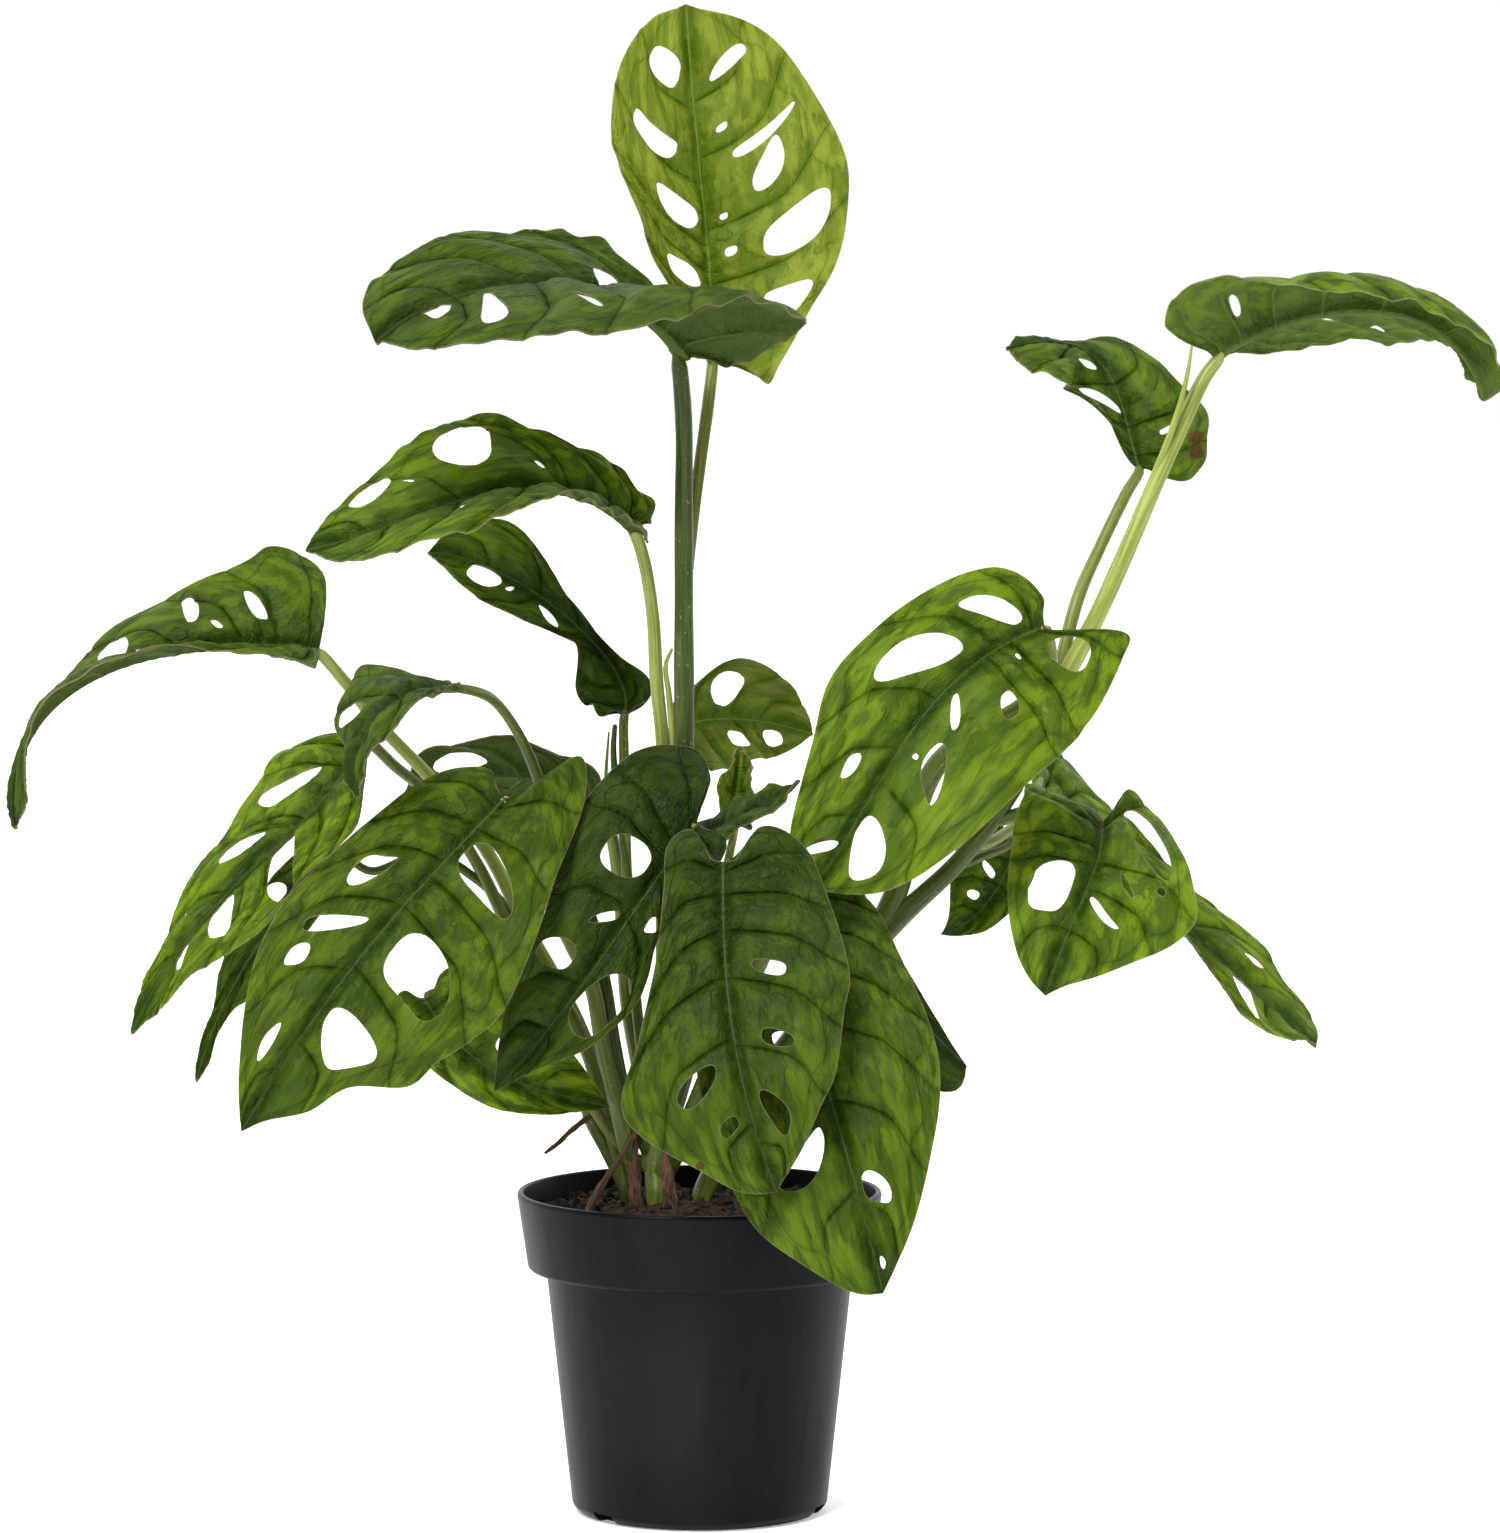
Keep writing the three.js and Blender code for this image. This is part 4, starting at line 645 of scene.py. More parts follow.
class Blade:
    """A leaf blade. mu counts its side veins from base (0) to tip (1), and t runs out along a vein from
    the midrib (0) to the margin (1). Both halves are worked out flat, a mm along the midrib and b mm out
    from it, then laid along the curved midrib, folded and curled."""
    FOOT_POWER = 1.8            # veins leave the midrib at its length times mu to this power
    VEIN_BEND = (0.22, 0.55)    # how far a vein's middle is towards its end, along and out

    def __init__(self, spine, face, left, right, fold=FLAT, curl=FLAT, left_holes=(), right_holes=(),
                 ruffle=(0, 0), dry=(), tone=0.4, young=False):
        a, b, c, d = np.array(spine, float)
        self.controls = (a, (-5 * a + 18 * b - 9 * c + 2 * d) / 6, (2 * a - 9 * b + 18 * c - 5 * d) / 6, d)
        self.steps = np.linspace(0, 1, 401)
        self.arc = arc_of(self.midrib(self.steps)[0])
        self.length = self.arc[-1]
        self.face = np.broadcast_to(unit(np.array(face, float)), (2, 3))
        self.fold, self.curl, self.ruffle, self.dry = fold, curl, ruffle, dry
        self.tone, self.young = tone, young
        self.holes = [[[value / 1000 for value in hole] for hole in half]
                      for half in (left_holes, right_holes)]
        self.width = [max(width for _, width in half) for half in (left, right)]
        stations = ([(share / 100 * self.length, width) for share, width in half] for half in (left, right))
        self.margins = [through_points(np.array(half + [(self.length, 0)]), 40, False) for half in stations]
        self.rounds = [arc_of(margin) for margin in self.margins]

    def midrib(self, u):
        """Cubic Bezier curve of the midrib: its points and its directions."""
        a, b, c, d = self.controls
        u = u[..., None]
        point = a * (1 - u)**3 + 3 * b * u * (1 - u)**2 + 3 * c * u**2 * (1 - u) + d * u**3
        return point, unit((b - a) * (1 - u)**2 + 2 * (c - b) * u * (1 - u) + (d - c) * u**2)

    def flat(self, half, mu, t):
        """Point (a, b) on vein mu: a quadratic curve from its foot on the midrib, by way of a point a little
        up and half way out, to the point at share mu of the margin."""
        foot = self.length * np.clip(mu, 0, 1)**self.FOOT_POWER
        share = self.rounds[half] / self.rounds[half][-1]
        end_a, end_b = (np.interp(mu, share, self.margins[half][:, k]) for k in (0, 1))
        up, out = self.VEIN_BEND
        a = foot * (1 - t)**2 + 2 * (foot + up * (end_a - foot)) * t * (1 - t) + end_a * t * t
        return a, 2 * out * end_b * t * (1 - t) + end_b * t * t

    def flats(self, half, mu, t):
        """The same as rows of points."""
        return np.stack(self.flat(half, mu, t), -1)

    def laid(self, half, a, b, lift):
        """Space point and upward normal of a flat point. Across the blade the surface is an arc that leaves
        the midrib at the fold angle and turns by the curl angle over the half's width; lift is added along
        the normal."""
        share = np.clip(a / self.length, 0, 1)
        origin, tangent = self.midrib(np.interp(share * self.length, self.arc, self.steps))
        origin = origin + tangent * (a - share * self.length)[:, None]
        ease = smoothstep(share)[:, None]
        up = self.face[0] * (1 - ease) + self.face[1] * ease
        up = unit(up - (up * tangent).sum(-1, keepdims=True) * tangent)
        side = np.cross(up, tangent) * (1 if half == 0 else -1)
        lean = np.radians(three_way(self.fold[half], share))
        turn = np.radians(three_way(self.curl[half], share))
        width = self.width[half]
        curled = np.abs(turn) > 1e-3
        bent = np.where(curled, turn, 1)
        slope = lean + turn * (b / width)
        across = np.where(curled, width * (np.sin(slope) - np.sin(lean)) / bent, b * np.cos(lean))
        rise = np.where(curled, width * (np.cos(lean) - np.cos(slope)) / bent, b * np.sin(lean))
        slope = np.where(b > 1e-6, slope, 0)[:, None]
        normal = up * np.cos(slope) - side * np.sin(slope)
        return origin + side * across[:, None] + up * rise[:, None] + normal * lift[:, None], normal

    def veins(self, half):
        """Side veins of a half: evenly spread, each moved off the holes, or left out for want of room."""
        taken = []
        for mu, _, reach, width, *more in self.holes[half]:
            slant = abs(more[0] if more else 0) * reach
            taken.append((mu - width - slant - VEIN_ROOM, mu + width + slant + VEIN_ROOM))
        few, many = VEIN_COUNTS
        count = few if self.length < SMALL_LEAF else many
        veins = [0.0]
        for mu in (k / count for k in range(1, count)):
            for _ in range(3):
                low, high = next(((low, high) for low, high in taken if low < mu < high), (mu, mu))
                mu = low if mu - low < high - mu else high
            clear = not any(low + 1e-6 < mu < high - 1e-6 for low, high in taken)
            if clear and veins[-1] + VEIN_SPACE < mu < 1 - VEIN_SPACE:
                veins.append(mu)
        return np.array(veins + [1.0])

    def outline_of(self, half, hole):
        """Outline of a hole in (mu, t): a blunt oval along the veins, a circle with its cosine and sine
        raised to powers below 1, made a little uneven by two slow sines, then stretched, leaned, widened
        towards one end (egg) and bent."""
        mu, t, reach, width, *more = hole
        lean, egg, bend = (*more, 0, 0, 0)[:3]
        low, high, near, far = self.flats(half, np.array([mu - width, mu + width, mu, mu]),
                                          np.array([t, t, t - reach, t + reach]))
        girth = 2 * (math.hypot(*(high - low)) + math.hypot(*(far - near)))
        count = int(np.clip(girth / LEAF_STEP, 12, 48))
        angle = TURN * (np.arange(count) + 0.5) / count
        uneven = 1 + 0.05 * np.sin(2 * angle + 40 * mu) + 0.04 * np.sin(3 * angle + 50 * t)
        along = np.sign(np.cos(angle)) * np.abs(np.cos(angle))**0.85 * uneven
        over = np.sign(np.sin(angle)) * np.abs(np.sin(angle))**0.75 * uneven
        shift = lean * reach * along + bend * width * (2 * along**2 - 1)
        return mu + width * over * (1 + egg * along) + shift, np.clip(t + reach * along, 0.03, 0.97)


def half_cells(blade, half, columns):
    """(mu, t) of the points of one half, and its triangles. The grid's columns are veins and its rows run
    along the leaf. Points near a hole give way to its outline, and triangles in a hole are left out."""
    width = blade.width[half]
    *near, first = RIB_ROWS
    even = np.linspace(first / width, 1 - MARGIN_ROW / width, max(2, round(width / LEAF_STEP)))
    rows = np.concatenate([np.array(near) / width, even, [1]])
    across, along = np.arange(len(columns)), np.arange(len(rows))
    grid = np.stack(np.meshgrid(across, along, indexing="ij"), -1).reshape(-1, 2).astype(float)
    loops = []
    for hole in blade.holes[half]:
        mu, t = blade.outline_of(half, hole)
        loop = np.stack([np.interp(mu, columns, across), np.interp(t, rows, along)], -1)
        grid = grid[~inside(grid, loop) & (distance_to(grid, closed(loop)) > 0.4)]
        loops.append(loop)
    starts = len(grid) + np.cumsum([0] + [len(loop) for loop in loops])
    edges = [(start + k, start + (k + 1) % len(loop))
             for start, loop in zip(starts, loops) for k in range(len(loop))]
    found = delaunay_2d_cdt(np.vstack([grid, *loops]).tolist(), edges, [], 0, 1e-5)
    points, triangles = np.array(found[0]), np.array(found[2])
    for loop in loops:
        triangles = triangles[~inside(points[triangles].mean(1), loop)]
    return np.interp(points[:, 0], across, columns), np.interp(points[:, 1], along, rows), triangles


def half_surface(blade, half, mu, t, seed):
    """Both faces of one half, and what its finish reads at each point. The upper face is the laid surface
    raised by: a quilted bulge between side veins (a half sine across each gap), grooves along the veins and
    a valley with a thin ridge along the midrib (bell curves), short wrinkles beside the midrib (a sine that
    dies away), soft unevenness, and waves, flutes and a ruffle in the margin (sines that grow with a power
    of t). The lower face lies the blade's thickness below, with the midrib's keel and low ridges
    under the veins. dead is the distance to the nearest withered spot, in its radius."""
    nudge = 1e-3
    a, b = blade.flat(half, mu, t)
    by_mu = blade.flats(half, mu + nudge, t) - blade.flats(half, mu - nudge, t)
    by_t = blade.flats(half, mu, t + nudge) - blade.flats(half, mu, t - nudge)
    swept = np.abs(by_mu[:, 0] * by_t[:, 1] - by_mu[:, 1] * by_t[:, 0])
    span = np.linalg.norm(by_t, axis=1)
    per_mu = swept / np.maximum(span, 1e-9) / (2 * nudge)
    span = span / (2 * nudge)
    veins = blade.veins(half)
    bent = mu - 0.05 * smoothstep((t - 0.5) / 0.5)
    phase = np.interp(bent, veins, np.arange(len(veins))) + np.minimum(bent, 0) * len(veins)
    pitch = np.diff(veins)[np.clip(phase.astype(int), 0, len(veins) - 2)] * per_mu
    share = phase - np.floor(phase)
    vein = np.minimum(share, 1 - share) * pitch
    signed = b if half == 0 else -b
    off_rib = smoothstep(b / 1.5)

    quilt = np.minimum(QUILT[1], QUILT[0] * pitch) * np.sin(math.pi * share)**0.8
    quilt = quilt * smoothstep(b / 5) * (1 - 0.75 * t**3)
    groove = -GROOVE[0] * bell(vein, GROOVE[1]) * off_rib * np.minimum(1, pitch / 4)
    valley = RIDGE[0] * bell(b, RIDGE[1]) - VALLEY[0] * bell(b, VALLEY[1])
    height, spacing, reach = WRINKLES
    foot = blade.length * mu**blade.FOOT_POWER
    sway = 2.5 * wander(a, b, 16, seed)
    wrinkles = height * np.sin(TURN * foot / spacing + sway) * np.exp(-b / reach) * off_rib
    uneven = (SWELLS[0] * wander(a, signed, SWELLS[1], seed + 1)
              + PUCKERS[0] * wander(9 * phase, 0.4 * span * t, PUCKERS[1], seed + 2) * (1 - 0.5 * t))
    round_mm = mu * blade.rounds[half][-1]
    margin = (WAVES[0] * t * t * np.sin(TURN * (WAVES[1] * mu + (0 if half == 0 else 0.37)))
              + FLUTES[0] * t**4 * np.sin(TURN * round_mm / FLUTES[1] + seed + half)
              + np.interp(mu, (0, 1), blade.ruffle) * t**5 * wander(round_mm, signed, RUFFLES, seed + 3))
    lift = quilt + groove + valley + wrinkles * (b > 0) + uneven * smoothstep(b / 3) + margin

    at_rib = np.clip(a / blade.length, 0, 1)**(1 / blade.FOOT_POWER)
    depth = SKIN + (0.6 + KEEL * (1 - at_rib)) * bell(b, 1.1) + 0.25 * bell(vein, 0.6) * (1 - t) * off_rib
    upper, normal = blade.laid(half, a, b, lift)
    flat = np.stack([a, b], -1)
    basal = np.linspace(0, 1, 12)
    outer = np.vstack([blade.flats(half, 0 * basal, basal), blade.margins[half][::EDGE_STEP]])
    edge = distance_to(flat, outer)
    edge[(t > 0.9999) | (mu < 1e-6)] = 0
    for hole in blade.holes[half]:
        loop = blade.flats(half, *blade.outline_of(half, hole))
        edge = np.minimum(edge, distance_to(flat, closed(loop)))
    dead = np.full(len(a), 5.0)
    for _, along, out, size in (spot for spot in blade.dry if spot[0] == half):
        dead = np.minimum(dead, np.hypot(a - along * blade.length, b - out) / size)
    values = dict(along=a, across=signed, phase=phase, pitch=pitch, out=t, span=span, edge=edge, dead=dead,
                  keel=0.14 + 0.42 * (1 - at_rib))
    return upper, upper - normal * depth[:, None], values


def build_leaf(name, blade, finish, slot, seed):
    """One leaf: both halves joined along the midrib, upper and lower face joined round every edge."""
    steps = np.linspace(0, 1, max(24, round(max(r[-1] for r in blade.rounds) / LEAF_STEP)) + 1)
    veins = np.unique(np.concatenate([blade.veins(half) for half in (0, 1)]))
    clear = np.abs(steps[:, None] - veins).min(1) > 0.4 * steps[1]
    columns = np.unique(np.concatenate([steps[clear], veins]))
    uppers, lowers, halves, faces, count = [], [], [], [], 0
    for half in (0, 1):
        mu, t, triangles = half_cells(blade, half, columns)
        upper, lower, values = half_surface(blade, half, mu, t, seed)
        x, y = np.stack([values["along"], values["across"]])[:, triangles]
        area = ((x[:, 1] - x[:, 0]) * (y[:, 2] - y[:, 0]) - (y[:, 1] - y[:, 0]) * (x[:, 2] - x[:, 0])).sum()
        uppers.append(upper)
        lowers.append(lower)
        halves.append(values)
        faces.append(count + (triangles[:, ::-1] if area < 0 else triangles))
        count += len(mu)
    upper, lower, faces = np.vstack(uppers), np.vstack(lowers), np.vstack(faces)
    values = {key: np.concatenate([half[key] for half in halves]) for key in halves[0]}

    # The halves share the points where b is 0: the midrib and the tip.
    first, joined = welded(np.stack([values["along"], values["across"]], -1), 4)
    used, faces = np.unique(open_triangles(joined[faces]), return_inverse=True)
    faces = faces.reshape(-1, 3)
    first = first[used]
    size = len(first)
    pairs = np.vstack([faces[:, [0, 1]], faces[:, [1, 2]], faces[:, [2, 0]]])
    rim = pairs[~np.isin(pairs[:, 0] * size + pairs[:, 1], pairs[:, 1] * size + pairs[:, 0])]
    walls = np.stack([rim[:, 1], rim[:, 0], size + rim[:, 0], size + rim[:, 1]], -1)
    both = {key: np.tile(numbers[first], 2) for key, numbers in values.items()}
    both["upper"] = np.repeat([1.0, 0.0], size)
    both["tone"] = np.interp(both["along"] / blade.length, (0, 1), np.broadcast_to(blade.tone, 2))
    make_piece(name + "_blade", np.vstack([upper[first], lower[first]]),
               [np.vstack([faces, size + faces[:, ::-1]]), walls], finish, both, node=name, slot=slot)


# ---------------------------------------------------------------- stems and petioles
STALK_STEP = 2.2                # spacing of the rings along a stalk
STALK_SIDES = 20
# Each stalk runs from the base of its leaf down to the stem it grows from, and one without a leaf is part of
# the stem or a sheath. Leaf, radii at the top and the foot, tone (one, or at the top and the foot), points.
STALKS = {
    "stem_left": (
        ("leaf_12_back_left", (1.8, 2.4), 0.25,
         ((-99, -12, 247), (-87, 2, 235), (-72.5, 8, 212), (-62, 7, 191), (-51, 4, 176), (-42, 3, 163),
          (-36.5, 3, 150), (-32.5, 3, 136.5), (-28.5, 3, 122), (-25, 4, 108))),
        ("leaf_13_behind_left", (1.4, 1.9), 0.1,
         ((-108, 4, 211), (-95, 6, 215), (-85, 8, 215), (-75, 9, 209), (-66, 9, 201), (-56, 9, 183),
          (-46, 8, 151), (-36, 4, 130))),
        ("leaf_15_far_left", (1.9, 2.8), (0.4, 0.8),
         ((-116, 6, 273), (-105, 8, 259), (-85, 12, 237), (-68.5, 14, 214), (-57.5, 13, 192),
          (-46, 10, 172), (-38, 8, 155), (-33, 7, 140), (-28, 6, 122), (-24, 5, 108))),
        (None, (2.4, 2.4), 0.1,
         ((-38, 4, 142), (-36, 3, 130), (-30, 4, 118), (-23, 4, 101), (-22, 4, 62))),
    ),
    "stem_middle": (
        ("leaf_01_top", (1.9, 2.2), 0.3,
         ((3, 12, 365), (0, 6, 343), (-3, 1, 320), (-5, -1, 300))),
        ("leaf_02_upper_left", (2.6, 4), 0.02,
         ((-5, -5, 359), (-5, -4, 333), (-5, -2, 288), (-5, 0, 252), (-6, 0, 202), (-9, 0, 162),
          (-12, 0, 133))),
        ("leaf_16_ruffled_left", (2, 2.5), 0.65,
         ((-18, -4, 314), (-15, 0, 294), (-14, 3, 274), (-12, 5, 252), (-12, 6, 218), (-12, 4, 175),
          (-13, 3, 132))),
        (None, (0.5, 1.7), 0.8,
         ((-9, 3, 284), (-11, 3, 279), (-10, 3, 270), (-9, 3, 260), (-8, 4, 248), (-9, 5, 230))),
        ("leaf_17_twisted_left", (1.6, 2.1), 0.15,
         ((-25, 24, 246), (-24, 22, 207), (-21, 14, 167), (-16, 5, 128), (-14, 2, 117))),
        (None, (0.3, 1), 0.3,
         ((-30, 25, 255), (-30.5, 25, 249), (-31, 25, 240), (-30, 24, 225), (-26, 21, 200))),
        (None, (0.8, 1.5), 0,
         ((-28, 24, 257), (-28.5, 24, 250), (-28, 24, 241), (-26, 23, 225), (-23, 21, 203))),
        ("leaf_18_small_middle", (1.5, 2), 0.5,
         ((-11, 28, 239), (-11, 24, 206), (-11, 14, 167), (-12, 5, 128), (-13, 2, 117))),
        ("leaf_14_small_bow", (1.5, 2.7), (0.1, 0),
         ((-67, -34, 271), (-58, -24, 258), (-51, -14, 239), (-45, -8, 216), (-35.5, -3, 196),
          (-31, -2, 174), (-28, -2, 154), (-24, -2, 136), (-17, 0, 120))),
        ("leaf_22_low_left", (1.5, 2), 0.3,
         ((-83, -18, 174), (-68, -10, 170), (-46, -4, 150), (-28, 0, 123), (-18, 0, 114))),
        ("leaf_11_front_left", (1.9, 3), (0.6, 0.1),
         ((-58, -34, 228), (-49, -20, 204), (-41.5, -12, 188), (-35, -8, 174), (-31.5, -7, 154),
          (-27.3, -6, 136), (-23, -4, 118))),
        ("leaf_10_middle_left", (1.8, 2.2), 0.4,
         ((-2, -20, 217), (-4, -10, 196), (-8, -3, 166), (-12, 0, 133))),
        ("leaf_09_front_middle", (1.5, 2.3), 0.1,
         ((13, -55, 218), (18, -42, 217), (18, -28, 213), (13, -17, 193), (0, -8, 160), (-10, -3, 130))),
        ("leaf_08_front_low", (1.9, 4), (0.3, 0),
         ((26, -26, 198), (17, -16, 177), (5, -8, 150), (-6, -3, 123), (-12, -1, 113))),
        ("leaf_19_small_inner", (1.2, 1.8), 0.4,
         ((0, -5, 213), (-2, -4, 193), (-6, -1, 163), (-10, 0, 133))),
        ("leaf_20_unrolling", (1.2, 3), (0.6, 0),
         ((9, 15, 211), (4, 10, 181), (-3, 5, 149), (-9, 3, 129), (-12, 2, 119))),
        ("leaf_21_back_arch", (1.5, 4.2), (0.05, 0.35),
         ((-30, 42, 221), (-26, 34, 198), (-23.5, 22, 167), (-17.5, 9, 137), (-15, 2, 116))),
        (None, (4.2, 4.4), 0.2,
         ((-11, 1, 150), (-13, 1, 128), (-14, 0, 101), (-14, 0, 62))),
    ),
    "stem_right": (
        ("leaf_03_upper_right", (2.2, 3.2), (0.6, 0.9),
         ((166, 17, 373), (157, 12, 355), (144, 6, 326), (130, 2, 295), (117, 0, 271))),
        (None, (0.4, 1.6), 0.7,
         ((161, 9, 383), (160, 9, 376), (158, 8, 367), (154, 8, 354), (149, 8, 341), (143, 6, 327))),
        ("leaf_04_arched", (1.8, 2.3), (0.3, 0.5),
         ((141, 30, 334), (132, 20, 317), (124, 10, 300), (117, 2, 274))),
        ("leaf_05_big_right", (1.8, 2.3), 0.6,
         ((114, -22, 286), (114, -12, 276), (107, -2, 266))),
        ("leaf_06_hanging_right", (1.8, 2.2), 0.15,
         ((127, -5, 231), (118, 1, 233), (108, 3, 231), (99, 4, 228))),
        ("leaf_07_low_right", (1.6, 2), 0.4,
         ((113, 50, 237), (108, 32, 227), (96, 12, 220), (90, 6, 219))),
        ("leaf_23_low_middle", (1.2, 1.6), 0.3,
         ((56, -14, 199), (51, -4, 188), (46, 5, 174), (45, 8, 170))),
        ("leaf_24_low_behind", (1.3, 1.7), 0.1,
         ((101, 22, 217), (93, 13, 215), (84, 7, 212))),
        (None, (2.4, 4), (0.1, 0),
         ((104, 3, 239), (97, 4, 229), (84, 6, 213), (66, 6, 196), (50, 7, 179))),
        (None, (3, 4.7), (0.2, 0),
         ((118, 0, 275), (104, 2, 264), (90, 4, 256), (78, 5, 246), (70, 6, 227), (65, 6, 205),
          (54, 7, 184), (42, 8, 168), (26, 10, 148), (12, 10, 121), (2, 8, 103), (0, 5, 62))),
    ),
}
# Withered remains: x, y, z and radius at points from the tip down into the soil, or out from the stem.
REMAINS = {
    "dry_stalk": ((-20, -6, 127, 0.7), (-27, -12, 117, 0.8), (-35, -15, 104, 1.4), (-39, -17, 94, 1.4)),
    "dry_sheath": ((-21.5, -5, 129, 0.8), (-21.5, -5.5, 116, 1.8), (-20.5, -6, 102, 2.2), (-20, -6, 90, 2)),
    "dry_stub": ((-11, -6, 119, 1), (-10.5, -7, 112, 2.1), (-9.5, -7, 102, 2.4), (-9, -7, 90, 2.2)),
    "dry_root": ((-35, 1, 131, 0.9), (-42, -1, 126, 0.8), (-47, -3, 121.5, 0.7), (-50.5, -4, 119, 0.5)),
}


def tube(stations, sides, step, relief=None):
    """Tube along [x, y, z, radius] stations with domed ends. A ring is the path's point plus the radius
    times cosine and sine along two directions square to the path; relief multiplies the radius by the
    angle round the tube and the length along it. Returns points, quads, triangles and finish values."""
    stations = np.array(stations, float)
    dense = through_points(stations[:, :3], 60)
    arc = arc_of(dense)
    dome = np.radians([75, 45, 20])
    first, last = stations[0, 3], stations[-1, 3]
    body = np.linspace(0, arc[-1], max(3, round(arc[-1] / step)) + 1)
    along = np.concatenate([-first * np.sin(dome), body, arc[-1] + last * np.sin(dome[::-1])])
    radius = np.concatenate([first * np.cos(dome), np.interp(body, arc[::60], stations[:, 3]),
                             last * np.cos(dome[::-1])])
    inner = np.clip(along, 0, arc[-1])
    ahead = np.gradient(dense, arc, axis=0)
    centre, tangent = (np.stack([np.interp(inner, arc, line[:, k]) for k in range(3)], -1)
                       for line in (dense, ahead))
    tangent = unit(tangent)
    centre = centre + tangent * (along - inner)[:, None]
    axis = np.eye(3)[np.abs(tangent).max(0).argmin()]
    normal = unit(axis - (tangent @ axis)[:, None] * tangent)
    binormal = np.cross(tangent, normal)
    angle = TURN * np.arange(sides) / sides
    reach = radius[:, None] * (relief(angle[None, :], along[:, None]) if relief else np.ones(sides))
    rings = (centre[:, None] + (reach * np.cos(angle))[..., None] * normal[:, None]
             + (reach * np.sin(angle))[..., None] * binormal[:, None])
    blunt = 1 - math.sin(dome[0])
    poles = np.stack([centre[0] - tangent[0] * first * blunt, centre[-1] + tangent[-1] * last * blunt])
    k = np.arange(sides)
    after = (k + 1) % sides
    total = len(along) * sides
    ends = np.vstack([np.stack([np.full(sides, total), after, k], -1),
                      np.stack([np.full(sides, total + 1), total - sides + k, total - sides + after], -1)])
    values = dict(round_x=np.append(np.tile(np.cos(angle), len(along)), [0, 0]),
                  round_y=np.append(np.tile(np.sin(angle), len(along)), [0, 0]),
                  along=np.append(np.repeat(along, sides), [along[0], along[-1]]))
    return np.vstack([rings.reshape(-1, 3), poles]), strips(len(along), sides), ends, values


def merged(parts):
    """Several meshes as one: their points, faces by number of corners, and values."""
    starts = np.cumsum([0] + [len(part[0]) for part in parts])
    faces = [np.vstack([start + part[k] for start, part in zip(starts, parts)]) for k in (1, 2)]
    values = {key: np.concatenate([part[3][key] for part in parts]) for key in parts[0][3]}
    return np.vstack([part[0] for part in parts]), faces, values


def grooved(seed):
    """Relief of a petiole: a shallow groove with a low ridge on each side, and faint ribs all round."""
    face = math.radians(-60 + 40 * math.sin(seed * 2.4))

    def relief(angle, along):
        off = np.abs((angle - face + math.pi) % TURN - math.pi)
        groove = -0.16 * bell(off, 0.3) + 0.07 * bell(off - 0.62, 0.2)
        return 1 + groove + 0.015 * np.cos(9 * angle + seed) + 0.02 * np.sin(along / 7 + seed)
    return relief


def withered(angle, along):
    """Relief of a withered stalk: two sets of uneven ribs that wind round it."""
    return 1 + 0.18 * np.cos(5 * angle + along / 3) + 0.12 * np.sin(along * 1.3 + 2 * angle)


def build_stems(blades, finish):
    """The stems, each with its petioles. A petiole starts at half its radius inside the midrib, 3 mm along
    the leaf and 2.4 mm below it, comes out under the leaf's base and then follows its own points."""
    for name, stalks in STALKS.items():
        parts = []
        for number, (leaf, radii, tone, points) in enumerate(stalks):
            route = np.array(points, float)
            radius = np.linspace(*radii, len(route))
            if leaf:
                base, tangent = (rows[0] for rows in blades[leaf].midrib(np.array([0.0])))
                up = blades[leaf].face[0]
                up = unit(up - (up @ tangent) * tangent)
                thick = radii[0]
                route = np.vstack([base + tangent * 3 - up * 2.4, base - up * (0.4 + thick), route])
                radius = np.append(0.5 * thick, np.linspace(*radii, len(route) - 1))
            relief = grooved(number + len(name))
            part = tube(np.column_stack([route, radius]), STALK_SIDES, STALK_STEP, relief)
            share = part[3]["along"] / part[3]["along"].max()
            part[3]["tone"] = np.interp(share, (0, 1), np.broadcast_to(tone, 2))
            parts.append(part)
        points, faces, values = merged(parts)
        make_piece(name + "_fine", points, faces, finish, values, node=name, slot="stem")


def build_remains(finish):
    """Withered stalks: tubes with deep uneven ribs."""
    for name, stations in REMAINS.items():
        points, quads, ends, values = tube(stations, 16, 1.2, withered)
        make_piece(name + "_fine", points, [quads, ends], finish, values, node=name, slot="dry_stem")


# ---------------------------------------------------------------- pot and soil
POT_HEIGHT = 106
RIM_RADIUS = 60
BAND_HEIGHT = 25.6
BAND_LOW_RADIUS = 56.5
NECK_RADIUS = 50.5
BASE_RADIUS = 42
POT_WALL = 1.6
LIP_WIDTH = 2
FLOOR = 2.2
FLOOR_RADIUS = BASE_RADIUS - POT_WALL + 0.3
BASE_CORNER = 2.5
POT_ROUNDING = 0.9
POT_SIDES = 192
POT_SHARP = 40                  # degrees
NOTCH_ANGLES = (-139, -19, 101)
NOTCH_WIDTH = 9
NOTCH_HEIGHT = 3.4
DRAIN_RADIUS = 3
DRAIN_CIRCLE = 24
DRAIN_SIDES = 32
SOIL_LEVEL = 99
SOIL_HUMP = 3
SOIL_REACH = 56                 # where the hump has sunk to the soil's level
SOIL_GAP = 0.4                  # between the soil and the wall
SOIL_RINGS = 76
SOIL_SIDES = 180
SOIL_LUMPS = ((0.9, 21, 11), (0.6, 9, 12), (0.45, 4.2, 13), (0.25, 2.2, 14))    # height, wavelength, seed
SOIL_SEED = 5
CRUMBS = 620
CRUMB_SIDES = 7
CRUMB_LEVELS = 4
FIBRES = 70


